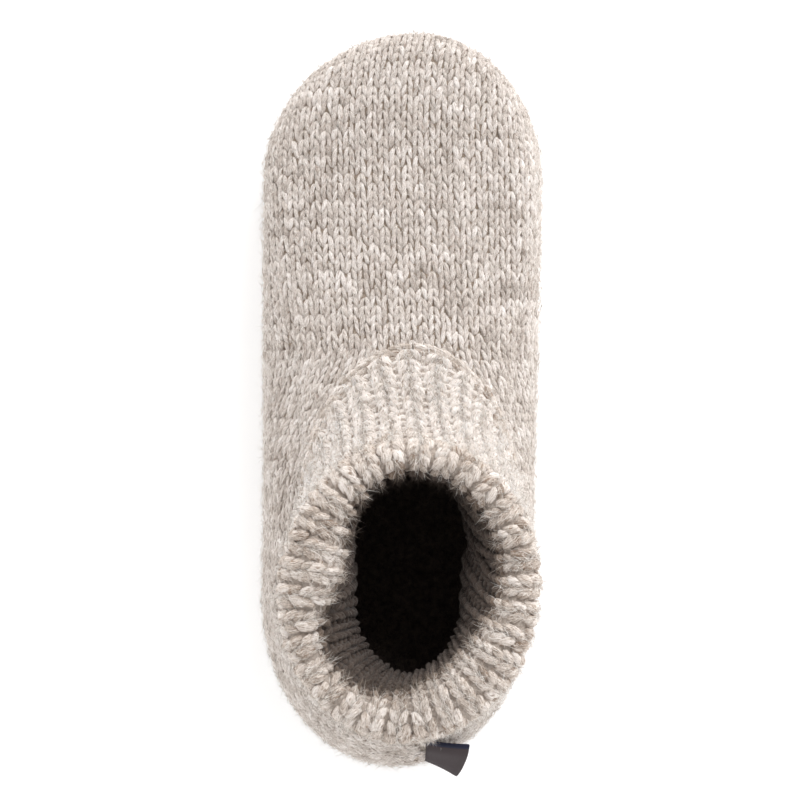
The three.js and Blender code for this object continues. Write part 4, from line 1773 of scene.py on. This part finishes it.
@dataclass
class Studio:
    """The pale floor, soft light and the camera straight above, as in the photograph."""

    floor_size: float = 6.0
    camera_height: float = 1.5
    camera_x: float = -0.95 * MM
    camera_y: float = 0.4 * MM
    lens: float = 180.0
    sensor: float = 36.0
    table_white: float = 0.8
    table_glow: float = 0.4
    wall_light: float = 2.28
    ceiling_light: float = 0.2
    wall_top: float = 0.1
    ceiling_edge: float = 0.95
    key_place: tuple[float, float, float] = (0.5, 0.9, 1.1)
    key_size: float = 0.8
    key_power: float = 13.0

    def build(self) -> None:
        """Builds the floor, the lights and the camera."""
        shape = bmesh.new()
        bmesh.ops.create_grid(shape, x_segments=1, y_segments=1, size=self.floor_size / 2)
        mesh = bpy.data.meshes.new("studio_floor")
        shape.to_mesh(mesh)
        shape.free()
        floor = linked_object("studio_floor", mesh)
        floor.data.materials.append(self.table_material())
        lamp = bpy.data.lights.new("key_light", "AREA")
        lamp.size = self.key_size
        lamp.energy = self.key_power
        light = linked_object("key_light", lamp)
        light.location = self.key_place
        light.rotation_euler = Vector(self.key_place).to_track_quat("Z", "Y").to_euler()
        self.sky()
        camera = bpy.data.cameras.new("camera_above")
        camera.lens = self.lens
        camera.sensor_width = self.sensor
        stand = linked_object("camera_above", camera)
        stand.location = (self.camera_x, self.camera_y, self.camera_height)
        bpy.context.scene.camera = stand
        bpy.context.scene.view_settings.view_transform = "Standard"

    def table_material(self) -> bpy.types.Material:
        """Builds the white light table's acrylic, which glows a little."""
        white = (self.table_white, self.table_white, self.table_white, 1.0)
        glow = {"Emission Color": "#ffffff", "Emission Strength": self.table_glow}
        return Finish("lit white acrylic table").done(white, 1.0, 0.5, glow)

    def sky(self) -> None:
        """Lights the room from white walls, brighter than the ceiling around the camera."""
        world = bpy.data.worlds.new("studio")
        bpy.context.scene.world = world
        world.use_nodes = True
        tree = world.node_tree
        tree.nodes.clear()
        direction = add_node(tree, "TexCoord").outputs["Generated"]
        climb = add_node(tree, "SeparateXYZ", {"Vector": direction}).outputs["Z"]
        limits = {"From Min": self.wall_top, "From Max": self.ceiling_edge}
        lights = {"To Min": self.wall_light, "To Max": self.ceiling_light}
        strength = add_node(tree, "MapRange", {"Value": climb, **limits, **lights}).outputs[0]
        inputs = {"Color": "#ffffff", "Strength": strength}
        background = add_node(tree, "Background", inputs).outputs[0]
        add_node(tree, "OutputWorld", {"Surface": background})


def main() -> None:
    """Builds the slipper sock's pieces in order."""
    logging.basicConfig(level=logging.INFO, format="%(message)s")
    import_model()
    random = np.random.default_rng(20)
    form = FootForm()
    form.fit(*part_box("knit_upper"))
    yarn = BrushedWool().material()
    foot_runs = KnitFoot(form).build(yarn, random)
    collar_runs = RibbedCollar(CollarForm(form)).build(random)
    foot_hairs = StrayFibres(
        "foot_hairs", "knit", count=16500, length=2.7 * MM, thickness=0.12 * MM, lowest=14 * MM
    )
    foot_hairs.build(foot_runs, random)
    collar_hairs = StrayFibres(
        "collar_hairs", "rib", count=16000, length=3.6 * MM, thickness=0.12 * MM, outer_share=0.57
    )
    collar_hairs.build(collar_runs, random)
    front_nap = StrayFibres(
        "front_nap",
        "rib",
        count=3000,
        length=3.2 * MM,
        thickness=0.11 * MM,
        outer_share=0.34,
        spread=2.6 * MM,
        # Painted light: the nap's hairs are paler than the other loose hairs, to offset the shade
        # that they cast on each other.
        wool=LooseHair("brushed-up wool nap in painted light", "#b5a89c", "#f2ebe5", "#ffffff"),
    )
    front_nap.build(collar_runs[-FRONT_RIBS:] + collar_runs[: FRONT_RIBS + 1], random)
    SoftSole(form).build()
    FoldedLabel(form).build()
    Studio().build()


if __name__ == "__main__":
    main()
